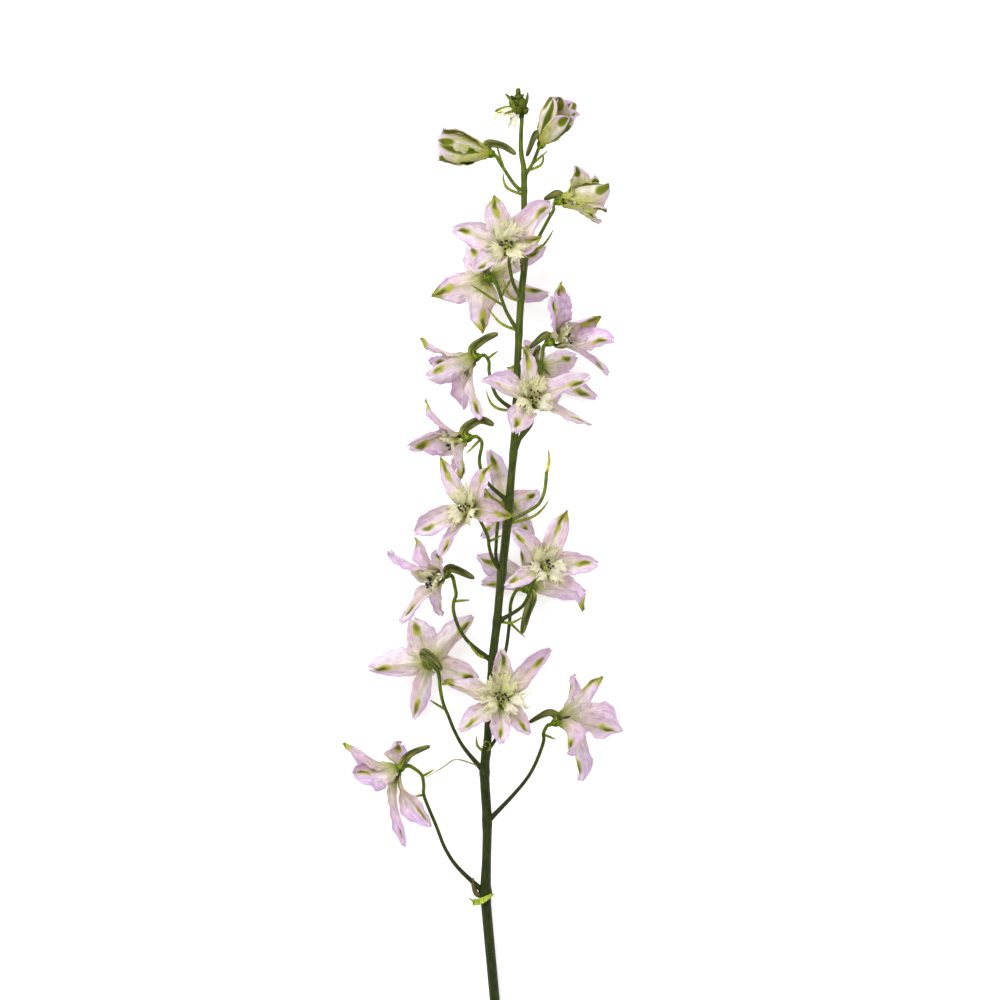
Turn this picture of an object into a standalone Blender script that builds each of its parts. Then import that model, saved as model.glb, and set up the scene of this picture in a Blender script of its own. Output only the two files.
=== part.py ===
"""A cut delphinium flower spike lying on its side, modelled in millimetres and built in metres.

The stem runs along +Y towards the tip, +X is the right of the spike and +Z is up, away from the
surface it lies on. The cut end and the blooms that droop touch the surface at z = 0, and the
origin is under the middle of the whole spike.

Each bloom is two solids: the coloured sepals with their spur, and the pale inner petals with the
stamens. The stem, the flower stalks and their bracts grew as one piece and are one solid.
"""

import math

import bmesh
import bpy
from mathutils import Vector

MM = 0.001
SHIFT = Vector((7.4, 28.0, 0.0))  # moves the drawing so that the origin is under its middle

BLADE = 0.7  # thickness of a sepal, mm
THIN_BLADE = 0.6  # thickness of a bract, mm
HEART_RADIUS = 2.1  # the swelling that carries the sepals, mm
SEPAL_REACH = 22.5  # straight distance from heart to tip of a full sepal, mm
SEPAL_STEPS = (0.0, 0.22, 0.48, 0.76, 1.0)  # shares of a sepal's length that have a row of points
SEPAL_CUP = 0.24  # how far a sepal's edges stand forward, as a share of its half width
BUD_CUP = 0.4  # the same in a bud, where the edges wrap round
SEPAL_SHOWN = 0.62  # least share of a sepal's width that is seen from above
ROOT_OUT = 0.9  # how far from the middle of the heart a sepal begins, mm
GAP = 0.4  # clear space between two solids, mm
LOOKS_UP = 0.6  # a bloom whose facing has at least this much of +Z looks upwards
BUD = 0.7  # an inner size up to this one is that of a flower that has only begun to open

STALK_RADIUS = 0.72
STUB_RADIUS = 1.0
BRACT_WIDTH = 1.3
BRACTEOLE_WIDTH = 1.2
TIP_BRACT_WIDTH = 1.4
BUD_STRETCH = 1.2  # a tip bud's length as a share of its width
BUD_WAY = (-0.2, 1.0, 0.1)
STEM_SIDES = 7
THIN_SIDES = 5  # round a stalk or a spur

BEE_PETALS = 4
HALF_PETAL = 0.42  # half of an inner petal's share of the circle, in radians
FOOT_RADIUS = 0.8
# Height above the heart's rim and radius of the inner petals, then of the notches between them,
# from the foot out to the petals' edge and back in to the stamens, for size 1, mm
BEE_RINGS = [((0.0, FOOT_RADIUS), (0.0, FOOT_RADIUS)), ((2.4, 1.1), (2.4, 1.0)),
             ((6.4, 7.2), (5.2, 3.0)), ((6.0, 1.5), (5.8, 1.4)), ((7.8, 0.9), (7.8, 0.9))]
LOBE_RADIUS = 2.0  # rings wider than this spread less in a bud

UNION_SOLVER = "MANIFOLD"
SHORTEST_EDGE = 0.03 * MM
SHARP_ANGLE = 50.0

LILAC = (0.72, 0.52, 0.76, 1.0)
CREAM = (0.80, 0.76, 0.48, 1.0)
LEAF_GREEN = (0.09, 0.16, 0.04, 1.0)
BUD_GREEN = (0.12, 0.20, 0.05, 1.0)

# x, y, height of the middle and radius of the main stem, from the cut end to the tip, mm
STEM = [
    (-0.3, -220.0, 1.75, 1.95),
    (-2.2, -200.0, 3.6, 1.95),
    (-5.6, -162.4, 8.0, 2.0),
    (-5.8, -155.6, 9.0, 2.1),
    (-5.4, -143.2, 11.0, 1.8),
    (-5.2, -128.0, 13.5, 1.85),
    (-6.2, -109.2, 17.0, 1.85),
    (-5.0, -96.0, 19.0, 1.6),
    (-4.4, -86.0, 20.5, 1.6),
    (-2.8, -62.4, 23.5, 1.65),
    (-1.2, -48.8, 24.5, 1.6),
    (0.0, -35.6, 25.5, 1.6),
    (2.8, -10.4, 27.0, 1.7),
    (4.4, 8.0, 28.0, 1.5),
    (6.0, 27.6, 29.0, 1.45),
    (7.2, 59.2, 30.0, 1.4),
    (8.4, 80.8, 30.0, 1.35),
    (10.0, 97.6, 30.0, 1.3),
    (9.6, 119.2, 30.0, 1.2),
    (9.6, 131.2, 30.0, 1.1),
    (8.6, 137.6, 30.0, 0.95),
    (8.3, 143.6, 30.2, 0.85),
    (8.7, 152.0, 30.4, 0.8),
]

# Each bloom: heart is where its stalk ends, facing is the way that it looks, and each sepal is
# (tip x, tip y, lift, width, curl, roll). Lift is the share of the rest of its length that goes
# up or down; curl bends the tip back, roll turns the blade about its own length, in degrees.
# Spur points are (x, y, height above the heart). Stalk points are (x, y), from heart to stem.
BLOOMS = [
    dict(name="bloom_01", heart=(-4.0, 138.4, 30.0), facing=(-1.0, 0.12, 0.25), bee=0.55,
         sepals=[(-22.0, 149.6, 0.65, 11, 0.0, 0), (-23.6, 143.0, 1.17, 11, 0.0, 0),
                 (-23.6, 134.8, 0.9, 11, 0.0, 0), (-22.4, 133.6, 0.04, 11, 0.0, 0),
                 (-22.0, 142.4, -0.27, 11, 0.0, 0)],
         spur=[(-5.2, 142.4, 0.5), (1.0, 141.6, 2.0), (6.4, 138.0, 2.6)], spur_radius=1.7,
         stalk=[(-0.4, 135.4), (5.2, 126.8), (8.3, 123.6)]),
    dict(name="bloom_02", heart=(16.6, 142.4, 29.0), facing=(0.45, 0.85, 0.25), bee=0.55,
         sepals=[(18.4, 160.0, 0.7, 11, 0.0, 0), (23.2, 161.2, -0.15, 11, 0.0, 0),
                 (30.8, 157.4, -0.3, 11, 0.0, 0), (32.6, 153.0, 0.3, 11, 0.0, 0),
                 (28.0, 150.6, 0.75, 11, 0.0, 0)],
         spur=[(15.6, 146.0, 1.5), (13.8, 145.2, 3.0), (10.6, 137.2, 3.6)], spur_radius=1.6,
         stalk=[(14.8, 139.2), (12.8, 134.1), (9.8, 129.6)]),
    dict(name="bloom_03", heart=(23.7, 119.6, 25.0), facing=(1.0, 0.1, 0.15), bee=0.75,
         sepals=[(30.2, 133.4, 0.2, 9.5, 0.3, 0), (43.6, 125.6, 0.7, 12.5, 0.1, 0),
                 (42.7, 115.6, 0.4, 9.5, -0.1, 0), (39.0, 128.0, -0.8, 11.5, 0.1, 0),
                 (38.6, 110.8, -0.8, 9.5, 0.1, 0)],
         spur=[(23.2, 122.6, 1.0), (17.6, 120.0, 2.0)], spur_radius=1.7,
         stalk=[(21.4, 116.0), (19.4, 112.4), (15.2, 104.8), (10.2, 98.8)]),
    dict(name="bloom_04", heart=(4.0, 98.8, 41.0), facing=(-0.15, 0.42, 0.9), bee=1.0,
         sepals=[(-2.9, 121.4, 0.1, 11.5, 0.2, 0), (19.6, 117.6, 0.1, 11.5, 0.2, 0),
                 (-17.9, 107.6, 0.1, 11, 0.2, 0), (-9.6, 92.0, 0.35, 9.5, 0.1, -20),
                 (15.8, 104.0, 0.5, 9.5, 0.1, 30)],
         spur=[(6.6, 98.2, -1.6), (8.6, 95.6, -3.0), (8.9, 91.2, -3.5)], spur_radius=1.2,
         stalk=[(3.6, 95.0), (4.6, 89.2), (6.0, 84.8), (8.3, 81.2)]),
    dict(name="bloom_05", heart=(-4.4, 89.3, 19.0), facing=(-0.35, -0.15, -0.9), bee=0.9,
         sepals=[(-27.2, 82.0, -0.3, 11.5, -0.1, 0), (-11.4, 102.0, -0.6, 11.5, 0.1, 0),
                 (-8.0, 67.2, -0.3, 13, 0.0, 0), (17.3, 101.6, -0.2, 9.5, 0.1, 0),
                 (18.6, 82.8, -0.3, 9.5, 0.1, 0)],
         spur=[(-5.6, 92.4, 2.2), (-1.0, 97.0, 4.6)], spur_radius=1.4,
         stalk=[(-1.4, 86.8), (0.4, 81.2), (2.8, 74.8), (7.4, 67.0)]),
    dict(name="bloom_06", heart=(19.9, 63.2, 26.0), facing=(0.9, 0.3, 0.2), bee=0.9,
         sepals=[(22.7, 86.8, -0.4, 9, 0.1, 0), (21.4, 80.4, 0.6, 12, 0.2, 0),
                 (39.6, 74.0, -0.8, 11, 0.1, 0), (44.4, 64.0, 0.5, 11, 0.3, 0),
                 (42.4, 51.0, -0.4, 11, 0.2, 0)],
         spur=[(18.4, 66.0, 1.5), (11.8, 60.6, 3.4)], spur_radius=1.6,
         stalk=[(17.2, 60.0), (16.2, 53.6), (12.4, 38.0), (8.8, 26.8), (5.4, 18.0)]),
    dict(name="bloom_07", heart=(11.0, 37.4, 40.0), facing=(0.3, 0.55, 0.78), bee=1.0,
         sepals=[(10.0, 61.2, 0.1, 10.5, 0.2, 0), (-6.4, 47.2, 0.3, 11, 0.2, 0),
                 (34.6, 49.0, 0.1, 11.5, 0.2, 0), (35.8, 30.4, 0.1, 8, 0.1, -20),
                 (6.0, 27.4, 0.6, 10.5, 0.3, 0)],
         spur=[(12.0, 40.2, -3.0), (13.0, 45.4, -6.0)], spur_radius=1.5,
         stalk=[(12.6, 35.0), (12.4, 30.0), (6.0, 22.4)]),
    dict(name="bloom_08", heart=(15.4, 54.0, 11.0), facing=(0.3, -0.3, -0.9), bee=0.8,
         sepals=[(29.8, 57.6, -0.1, 10.5, 0.1, 0), (38.0, 41.6, -3.0, 9.5, 0.1, 0),
                 (4.2, 52.6, -0.55, 9.5, 0.1, 0), (9.8, 63.4, -0.55, 9.5, 0.1, 0),
                 (21.4, 39.0, -0.75, 9.5, 0.1, 0)],
         spur=[(14.0, 57.4, 2.2), (16.0, 62.0, 4.0)], spur_radius=1.4,
         stalk=[(12.2, 50.0), (9.6, 42.0), (6.4, 34.0)]),
    dict(name="bloom_09", heart=(-9.7, 57.0, 26.0), facing=(-0.85, -0.4, 0.15), bee=0.9,
         sepals=[(-32.2, 63.3, 0.1, 11, 0.1, 0), (-28.4, 49.6, 0.8, 11, 0.1, 0),
                 (-7.7, 33.0, 2.2, 8, 0.1, 0), (-14.0, 38.0, -0.8, 11, 0.1, 0),
                 (-26.0, 54.0, -0.9, 12, 0.1, 0)],
         spur=[(-11.2, 60.4, 1.5), (-6.0, 64.4, 2.6), (-0.8, 66.5, 3.0)], spur_radius=1.8,
         stalk=[(-5.9, 57.7), (-4.4, 55.2), (-4.2, 50.4), (-1.2, 41.4), (6.2, 35.6)]),
    dict(name="bloom_10", heart=(-13.0, 24.8, 24.0), facing=(-0.9, -0.3, 0.15), bee=0.9,
         sepals=[(-30.9, 39.0, 0.2, 9, 0.1, 0), (-34.0, 18.4, 0.6, 12, 0.1, 0),
                 (-14.6, 9.4, 0.5, 9, 0.1, 0), (-16.8, 12.4, -0.9, 10.5, 0.1, 0),
                 (-30.0, 24.0, -0.8, 11.5, 0.1, 0)],
         spur=[(-14.4, 28.2, 1.4), (-8.0, 32.0, 3.0), (-2.4, 30.0, 3.4)], spur_radius=1.9,
         stalk=[(-9.0, 25.2), (-7.2, 22.6), (-8.2, 15.0), (-5.2, 7.2), (3.6, -0.8)]),
    dict(name="bloom_11", heart=(-10.2, -5.4, 38.0), facing=(-0.5, 0.35, 0.78), bee=1.0,
         sepals=[(-24.0, 16.9, 0.1, 8.5, 0.1, 0), (-4.0, 14.8, 0.5, 9.5, 0.2, 0),
                 (4.4, -6.4, 0.45, 11, 0.2, 0), (-23.6, -21.6, 0.1, 9.5, 0.2, 0),
                 (-33.2, -12.8, 0.1, 9.5, 0.2, 0)],
         spur=[(-8.4, -3.0, -1.8), (-2.4, -2.6, -3.0)], spur_radius=1.6,
         stalk=[(-7.6, -8.8), (-4.9, -14.6), (-4.3, -18.8), (-2.8, -23.8), (0.6, -28.6)]),
    dict(name="bloom_12", heart=(3.2, -3.2, 11.0), facing=(0.05, 0.15, -1.0), bee=0.8,
         sepals=[(-4.4, 19.2, -3.0, 9.5, 0.1, 0), (14.8, 3.6, -0.65, 9.5, 0.1, 0),
                 (-9.0, 2.0, -0.65, 9.5, 0.1, 0), (13.0, -14.0, -0.65, 8, 0.1, 0),
                 (-7.0, -14.4, -0.65, 8, 0.1, 0)],
         spur=[(2.0, -0.4, 3.0), (4.6, 3.0, 7.0)], spur_radius=1.4,
         stalk=[(-0.6, -8.0), (-1.6, -19.2), (-1.4, -24.0), (0.6, -30.6)]),
    dict(name="bloom_13", heart=(15.2, -28.6, 37.5), facing=(0.42, 0.4, 0.8), bee=1.0,
         sepals=[(26.0, -4.2, 0.1, 8.5, 0.2, 0), (5.6, -12.0, 0.4, 9.5, 0.1, 0),
                 (2.8, -34.2, 0.4, 8, 0.3, 0), (34.4, -43.2, 0.1, 9.5, 0.2, 0),
                 (38.2, -25.6, 0.1, 9.5, 0.2, 0)],
         spur=[(13.2, -26.6, -2.0), (6.7, -30.0, -2.6)], spur_radius=1.9,
         stalk=[(13.4, -33.0), (10.6, -39.9), (7.6, -43.6), (-0.4, -48.4)]),
    dict(name="bloom_14", heart=(11.6, -36.0, 12.0), facing=(0.2, 0.4, -0.85), bee=0.8,
         sepals=[(33.6, -37.2, -2.0, 9.5, 0.1, 0), (27.0, -22.0, -1.2, 9.5, 0.1, 0),
                 (-8.6, -23.0, -3.0, 9.5, 0.1, 0), (-6.6, -33.5, -0.9, 9.5, 0.1, 0),
                 (9.0, -19.0, -0.8, 9.5, 0.1, 0)],
         spur=[(13.0, -39.0, 2.4), (10.6, -46.0, 2.4), (8.8, -53.6, 1.4)], spur_radius=2.0,
         stalk=[(7.0, -35.8), (4.4, -41.0), (3.8, -49.0), (1.8, -62.0), (-3.4, -71.4)]),
    dict(name="bloom_15", heart=(-21.7, -29.8, 22.0), facing=(-0.85, -0.3, 0.35), bee=0.95,
         sepals=[(-33.0, -15.1, -0.3, 9, 0.1, 0), (-44.0, -21.2, 0.1, 12, 0.1, 0),
                 (-39.2, -48.4, 0.1, 9, 0.1, 0), (-23.6, -45.6, -0.4, 8, 0.1, 0),
                 (-24.6, -20.5, 0.5, 10.5, 0.1, 0)],
         spur=[(-19.4, -27.2, 1.6), (-10.2, -31.4, 2.6)], spur_radius=1.9,
         stalk=[(-18.2, -34.0), (-17.6, -38.0), (-18.6, -41.2), (-18.4, -45.4), (-16.1, -51.8),
                (-11.8, -57.6), (-3.2, -64.4)]),
    dict(name="bloom_16", heart=(0.2, -81.6, 34.0), facing=(0.08, 0.4, 0.9), bee=1.15,
         sepals=[(-22.2, -73.2, 0.2, 8.5, 0.2, 0), (19.6, -60.0, 0.1, 8.5, 0.2, 0),
                 (0.4, -60.3, 0.5, 10.5, 0.1, 0), (-15.6, -91.6, 0.3, 8.5, 0.2, 0),
                 (0.6, -96.6, 0.4, 8, 0.1, 0), (11.4, -92.6, 0.4, 8, 0.2, 0)],
         spur=[(0.4, -78.6, -3.0), (1.0, -73.6, -5.5)], spur_radius=1.5,
         stalk=[(-0.8, -86.0), (-1.4, -94.8), (-5.8, -101.2)]),
    dict(name="bloom_17", heart=(-27.7, -65.4, 16.0), facing=(-0.2, 0.1, -0.95), bee=0.9,
         sepals=[(-34.8, -48.6, -0.9, 13, 0.1, 0), (-51.8, -67.6, -3.0, 11.5, 0.0, 0),
                 (-11.6, -47.2, -1.0, 9.5, 0.1, 0), (-9.6, -71.6, -0.8, 10.5, 0.1, 0),
                 (-34.4, -87.2, -3.0, 8, 0.1, 0)],
         spur=[(-30.4, -61.6, 2.6), (-27.6, -63.0, 7.0), (-23.4, -68.0, 9.0)], spur_radius=2.2,
         stalk=[(-24.6, -69.4), (-24.0, -75.2), (-22.8, -81.2), (-20.4, -87.2), (-18.1, -92.8),
                (-14.2, -99.6), (-6.4, -108.8)]),
    dict(name="bloom_18", heart=(22.6, -89.0, 17.0), facing=(0.8, 0.3, -0.4), bee=0.9,
         sepals=[(39.7, -69.8, 0.1, 10, 0.1, 0), (29.2, -71.2, -1.4, 11, 0.1, 0),
                 (47.6, -92.4, -0.6, 13, 0.1, 0), (32.7, -111.8, -2.5, 9.5, 0.1, 0),
                 (27.0, -100.0, 0.6, 9.5, 0.5, 0)],
         spur=[(22.0, -85.8, 1.6), (18.6, -85.4, 2.8), (11.6, -89.2, 3.6)], spur_radius=1.6,
         stalk=[(18.8, -90.6), (17.4, -93.6), (17.4, -97.0), (14.4, -105.2), (10.8, -111.6),
                (4.8, -118.8), (-5.0, -129.0)]),
    dict(name="bloom_19", heart=(-40.0, -107.4, 15.0), facing=(-0.8, -0.5, 0.1), bee=0.95,
         sepals=[(-62.2, -96.6, 0.1, 11, 0.1, 0), (-57.6, -109.6, 0.8, 11, 0.1, 0),
                 (-39.4, -98.6, -0.5, 11, 0.3, 0), (-28.4, -130.2, 0.1, 8, 0.1, 0),
                 (-38.2, -138.0, -2.5, 9, 0.1, 0), (-56.0, -104.0, -1.1, 11, 0.1, 0)],
         spur=[(-38.2, -104.0, 1.8), (-34.8, -101.2, 3.0), (-28.0, -98.6, 3.0)],
         spur_radius=1.7,
         stalk=[(-35.4, -107.0), (-31.6, -110.0), (-30.6, -114.0), (-30.6, -118.0),
                (-29.0, -122.6), (-25.4, -131.2), (-22.0, -139.8), (-16.8, -147.6),
                (-6.2, -157.6)]),
]

# Bracts and bracteoles: points (x, y, height above the stem's own height there)
BRACTS = [
    [(8.8, 122.0, 0.2), (3.5, 124.2, 1.2), (1.6, 127.0, 2.0), (1.2, 130.8, 3.0)],
    [(9.8, 131.2, 0.0), (16.4, 134.0, -2.0), (17.4, 138.6, -4.0)],
    [(10.2, 98.6, 0.0), (17.0, 101.6, 0.5), (21.4, 108.0, 0.0)],
    [(8.4, 80.2, 0.4), (5.1, 80.4, 3.6), (2.6, 83.6, 5.6), (1.4, 88.0, 6.4)],
    [(7.4, 67.6, 0.0), (0.4, 70.6, 1.0), (-5.0, 76.8, 2.0)],
    [(6.2, 35.6, 0.0), (-0.4, 36.4, 0.0), (-3.8, 39.0, 0.4), (-5.4, 43.6, 0.6)],
    [(3.2, -2.4, 0.0), (-3.2, 1.0, 0.0), (-7.6, 7.0, -0.6)],
    [(0.4, -48.8, 0.0), (5.0, -49.0, 1.6), (9.6, -46.4, 3.0)],
    [(-3.6, -64.0, 0.0), (-8.9, -61.8, 0.6), (-12.8, -56.8, 1.6)],
    [(-5.6, -101.4, 0.0), (-9.0, -98.4, 2.4), (-9.4, -94.6, 4.0)],
    [(-6.6, -107.6, 0.0), (-16.9, -103.9, 1.0), (-22.8, -107.0, 2.0), (-29.6, -111.0, 2.0)],
    [(2.8, -9.6, 0.0), (12.4, -7.0, 0.8), (17.0, -3.6, 1.6), (19.4, -0.2, 2.2)],
    [(-5.8, -158.0, 0.0), (-9.0, -161.6, 1.2), (-12.6, -159.6, 1.8)],
]
BRACTEOLES = [
    ("bloom_01", 0.55, (-1.6, 142.6, -2.6)),
    ("bloom_02", 0.5, (19.0, 139.6, -2.0)),
    ("bloom_03", 0.6, (17.0, 119.2, -4.0)),
    ("bloom_05", 0.35, (-11.6, 86.0, 4.5)),
    ("bloom_05", 0.5, (5.0, 89.6, 1.0)),
    ("bloom_09", 0.7, (-0.8, 59.6, -1.5)),
    ("bloom_10", 0.7, (-13.4, 18.6, 3.0)),
    ("bloom_11", 0.5, (0.6, -14.2, -2.0)),
    ("bloom_14", 0.4, (10.0, -55.0, 4.0)),
    ("bloom_15", 0.6, (-12.0, -40.0, -2.0)),
    ("bloom_17", 0.75, (-17.4, -73.4, 3.0)),
    ("bloom_17", 0.5, (-28.2, -80.0, 4.0)),
    ("bloom_18", 0.7, (22.2, -95.8, 2.0)),
    ("bloom_19", 0.75, (-26.4, -108.0, 3.0)),
    ("bloom_19", 0.55, (-34.8, -119.0, -1.0)),
]

# A stalk that has lost its flower, on the right of the spike, and the dry stub at the lowest node
BARE_STALK = [(2.8, -9.0, 27.0), (11.0, -4.6, 27.0), (15.4, -1.6, 26.6), (17.6, 2.8, 26.0),
              (18.4, 7.8, 25.6), (18.6, 11.3, 25.4)]
BARE_STALK_LEAF = [(18.5, 10.2, 25.5), (19.6, 15.2, 26.0), (19.4, 20.0, 26.4)]
DRY_STUB = [(-5.8, -158.6, 9.0), (-9.6, -158.0, 9.2), (-11.2, -151.8, 9.6)]

# The tip: round buds (x, y, z, radius) on a short core, with thin bracts standing among them
TIP_CORE = [(8.7, 152.6, 30.4, 0.8), (8.0, 156.6, 30.3, 1.5), (7.4, 160.0, 30.2, 1.3),
            (7.2, 162.4, 30.2, 0.7)]
TIP_BUDS = [(7.2, 163.2, 30.4, 1.1), (5.2, 158.2, 31.4, 1.6), (9.0, 158.2, 31.2, 1.6),
            (10.2, 155.6, 30.0, 1.3), (7.0, 155.6, 32.0, 1.4), (6.6, 159.4, 28.8, 1.5)]
TIP_BRACTS = [[(7.4, 152.8, 31.6), (5.6, 156.6, 32.6), (3.4, 161.6, 32.6)],
              [(9.0, 156.2, 31.0), (10.6, 159.4, 31.4), (11.2, 163.0, 31.6)],
              [(5.6, 158.0, 30.0), (3.8, 160.6, 30.2), (2.0, 162.4, 30.4)],
              [(6.2, 154.6, 31.6), (4.6, 151.4, 32.4), (3.2, 148.6, 32.6)],
              [(7.0, 154.4, 32.0), (6.0, 151.2, 32.8), (5.6, 148.4, 33.0)]]
TIP_OPENING_BUD = [(6.6, 155.4, 30.6, 1.5), (3.2, 154.4, 31.0, 2.1), (-0.6, 153.4, 31.2, 1.9),
                   (-2.6, 152.9, 31.2, 0.9)]


def mix(a, b, share):
    return a + (b - a) * share


def ease(share):
    return share * share * (3.0 - 2.0 * share)


def stem_height(y):
    """Height of the stem's middle at y."""
    for low, high in zip(STEM, STEM[1:]):
        if y <= high[1]:
            share = (max(y, low[1]) - low[1]) / (high[1] - low[1])
            return mix(low[2], high[2], share)
    return STEM[-1][2]


def curve_through(points, steps):
    """Points on a smooth curve through points, which are tuples of any length."""
    found = []
    last = len(points) - 1
    for i in range(last):
        a, b = points[max(i - 1, 0)], points[i]
        c, d = points[i + 1], points[min(i + 2, last)]
        for k in range(steps):
            t = k / steps
            found.append(tuple(
                0.5 * (2 * q + (r - p) * t + (2 * p - 5 * q + 4 * r - s) * t * t
                       + (3 * q - p - 3 * r + s) * t ** 3)
                for p, q, r, s in zip(a, b, c, d)))
    found.append(tuple(points[last]))
    return found


def mesh_from(name, corners, faces):
    """A mesh from points in millimetres, none below the floor, with its faces turned outwards."""
    mesh = bpy.data.meshes.new(name)
    corners = [(c[0], c[1], max(c[2], 0.0)) for c in corners]
    mesh.from_pydata([(Vector(c) + SHIFT) * MM for c in corners], [], faces)
    bm = bmesh.new()
    bm.from_mesh(mesh)
    bmesh.ops.triangulate(bm, faces=[f for f in bm.faces if len(f.verts) > 3])
    bmesh.ops.recalc_face_normals(bm, faces=bm.faces)
    bm.to_mesh(mesh)
    bm.free()
    return mesh


def tube(name, path, sides):
    """A closed tube along path, whose points are (x, y, z, radius)."""
    middles = [Vector(p[:3]) for p in path]
    corners, faces = [], []
    side_way = None
    for i, middle in enumerate(middles):
        ahead = middles[min(i + 1, len(middles) - 1)] - middles[max(i - 1, 0)]
        ahead.normalize()
        if side_way is None:
            side_way = ahead.cross(Vector((0.0, 0.0, 1.0)))
            if side_way.length < 0.2:
                side_way = ahead.cross(Vector((1.0, 0.0, 0.0)))
        side_way = (side_way - ahead * side_way.dot(ahead)).normalized()
        up_way = ahead.cross(side_way)
        for k in range(sides):
            turn = 2.0 * math.pi * (k + 0.5) / sides
            offset = side_way * math.cos(turn) + up_way * math.sin(turn)
            corners.append(middle + offset * path[i][3])
    for i in range(len(middles) - 1):
        for k in range(sides):
            a, b = i * sides + k, i * sides + (k + 1) % sides
            c, d = b + sides, a + sides
            faces += [(a, b, c), (a, c, d)]
    faces.append(tuple(range(sides))[::-1])
    faces.append(tuple(range(len(corners) - sides, len(corners))))
    return mesh_from(name, corners, faces)


def ball(name, middle, radius, stretch, way):
    """A low round body, stretched along way."""
    bm = bmesh.new()
    bmesh.ops.create_icosphere(bm, subdivisions=1, radius=radius)
    way = Vector(way).normalized()
    corners = [Vector(middle) + v.co + way * v.co.dot(way) * (stretch - 1.0) for v in bm.verts]
    faces = [tuple(v.index for v in f.verts) for f in bm.faces]
    bm.free()
    return mesh_from(name, corners, faces)


def blade(name, rows, thickness):
    """A closed leaf from rows of (points from edge to edge, normal)."""
    corners, faces = [], []
    half = thickness / 2.0
    wide = len(rows[0][0])
    for points, normal in rows:
        corners += [point + normal * half for point in points]
        corners += [point - normal * half for point in points]
    for i in range(len(rows) - 1):
        a, b = 2 * wide * i, 2 * wide * (i + 1)
        for k in range(wide - 1):
            faces += [(a + k, a + k + 1, b + k + 1), (a + k, b + k + 1, b + k)]
            m, n = a + wide + k, b + wide + k
            faces += [(m, n + 1, m + 1), (m, n, n + 1)]
        for k in (0, wide - 1):
            faces += [(a + k, b + k, b + k + wide), (a + k, b + k + wide, a + k + wide)]
    for a in (0, 2 * wide * (len(rows) - 1)):
        for k in range(wide - 1):
            faces += [(a + k, a + k + 1, a + wide + k + 1), (a + k, a + wide + k + 1, a + wide + k)]
    return mesh_from(name, corners, faces)


def leaf_rows(path, width):
    """Rows of a narrow, nearly level leaf that follows path."""
    points = [Vector(p) for p in path]
    last = len(points) - 1
    rows = []
    for i, middle in enumerate(points):
        ahead = (points[min(i + 1, last)] - points[max(i - 1, 0)]).normalized()
        side = ahead.cross(Vector((0.0, 0.0, 1.0))).normalized()
        normal = side.cross(ahead).normalized()
        half = 0.5 * width * max(0.34, math.sin(math.pi * (0.3 + 0.7 * i / last)))
        rows.append(([middle - side * half, middle + side * half], normal))
    return rows


def sepal_half_width(share, blunt):
    """Share of a sepal's half width at a share of its length: a claw, a broad body, a point."""
    claw = 0.2 + 0.8 * ease(min(share / 0.46, 1.0))
    body = max(math.sin(math.pi * share ** 1.2), 0.0) ** 0.6
    return max(min(claw, body), 0.45 if blunt and share > 0.5 else 0.16)


def shown_turn(side, normal):
    """How far a blade is turned about its length so that it isn't seen edge-on from above."""
    across, upright = side.z, normal.z
    if math.hypot(across, upright) < 0.3:
        return 0.0
    lean = math.atan2(across, upright)
    most = math.acos(SEPAL_SHOWN)
    for level in (-math.pi, 0.0, math.pi):
        if abs(lean - level) <= math.pi / 2.0:
            return min(max(lean, level - most), level + most) - lean
    return 0.0


def flare(bloom):
    """How far the inner petals spread: least in a bud, most where the bloom looks upwards."""
    if bloom["bee"] < BUD:
        return 0.3
    return 1.0 if Vector(bloom["facing"]).normalized().z > LOOKS_UP else 0.62


def clear_of_axis(point, bloom):
    """point, moved outwards where it would stand in the inner petals' way."""
    heart = Vector(bloom["heart"])
    facing = Vector(bloom["facing"]).normalized()
    rise = (point - heart).dot(facing)
    if rise <= 0.0:
        return point
    across = point - heart - facing * rise
    need = 2.6
    if bloom["bee"] > BUD:
        need = 2.3 + min(rise, 9.0) * 0.67 * flare(bloom) * bloom["bee"]
    if across.length >= need or across.length < 1e-6:
        return point
    return point + across.normalized() * (need - across.length)


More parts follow.
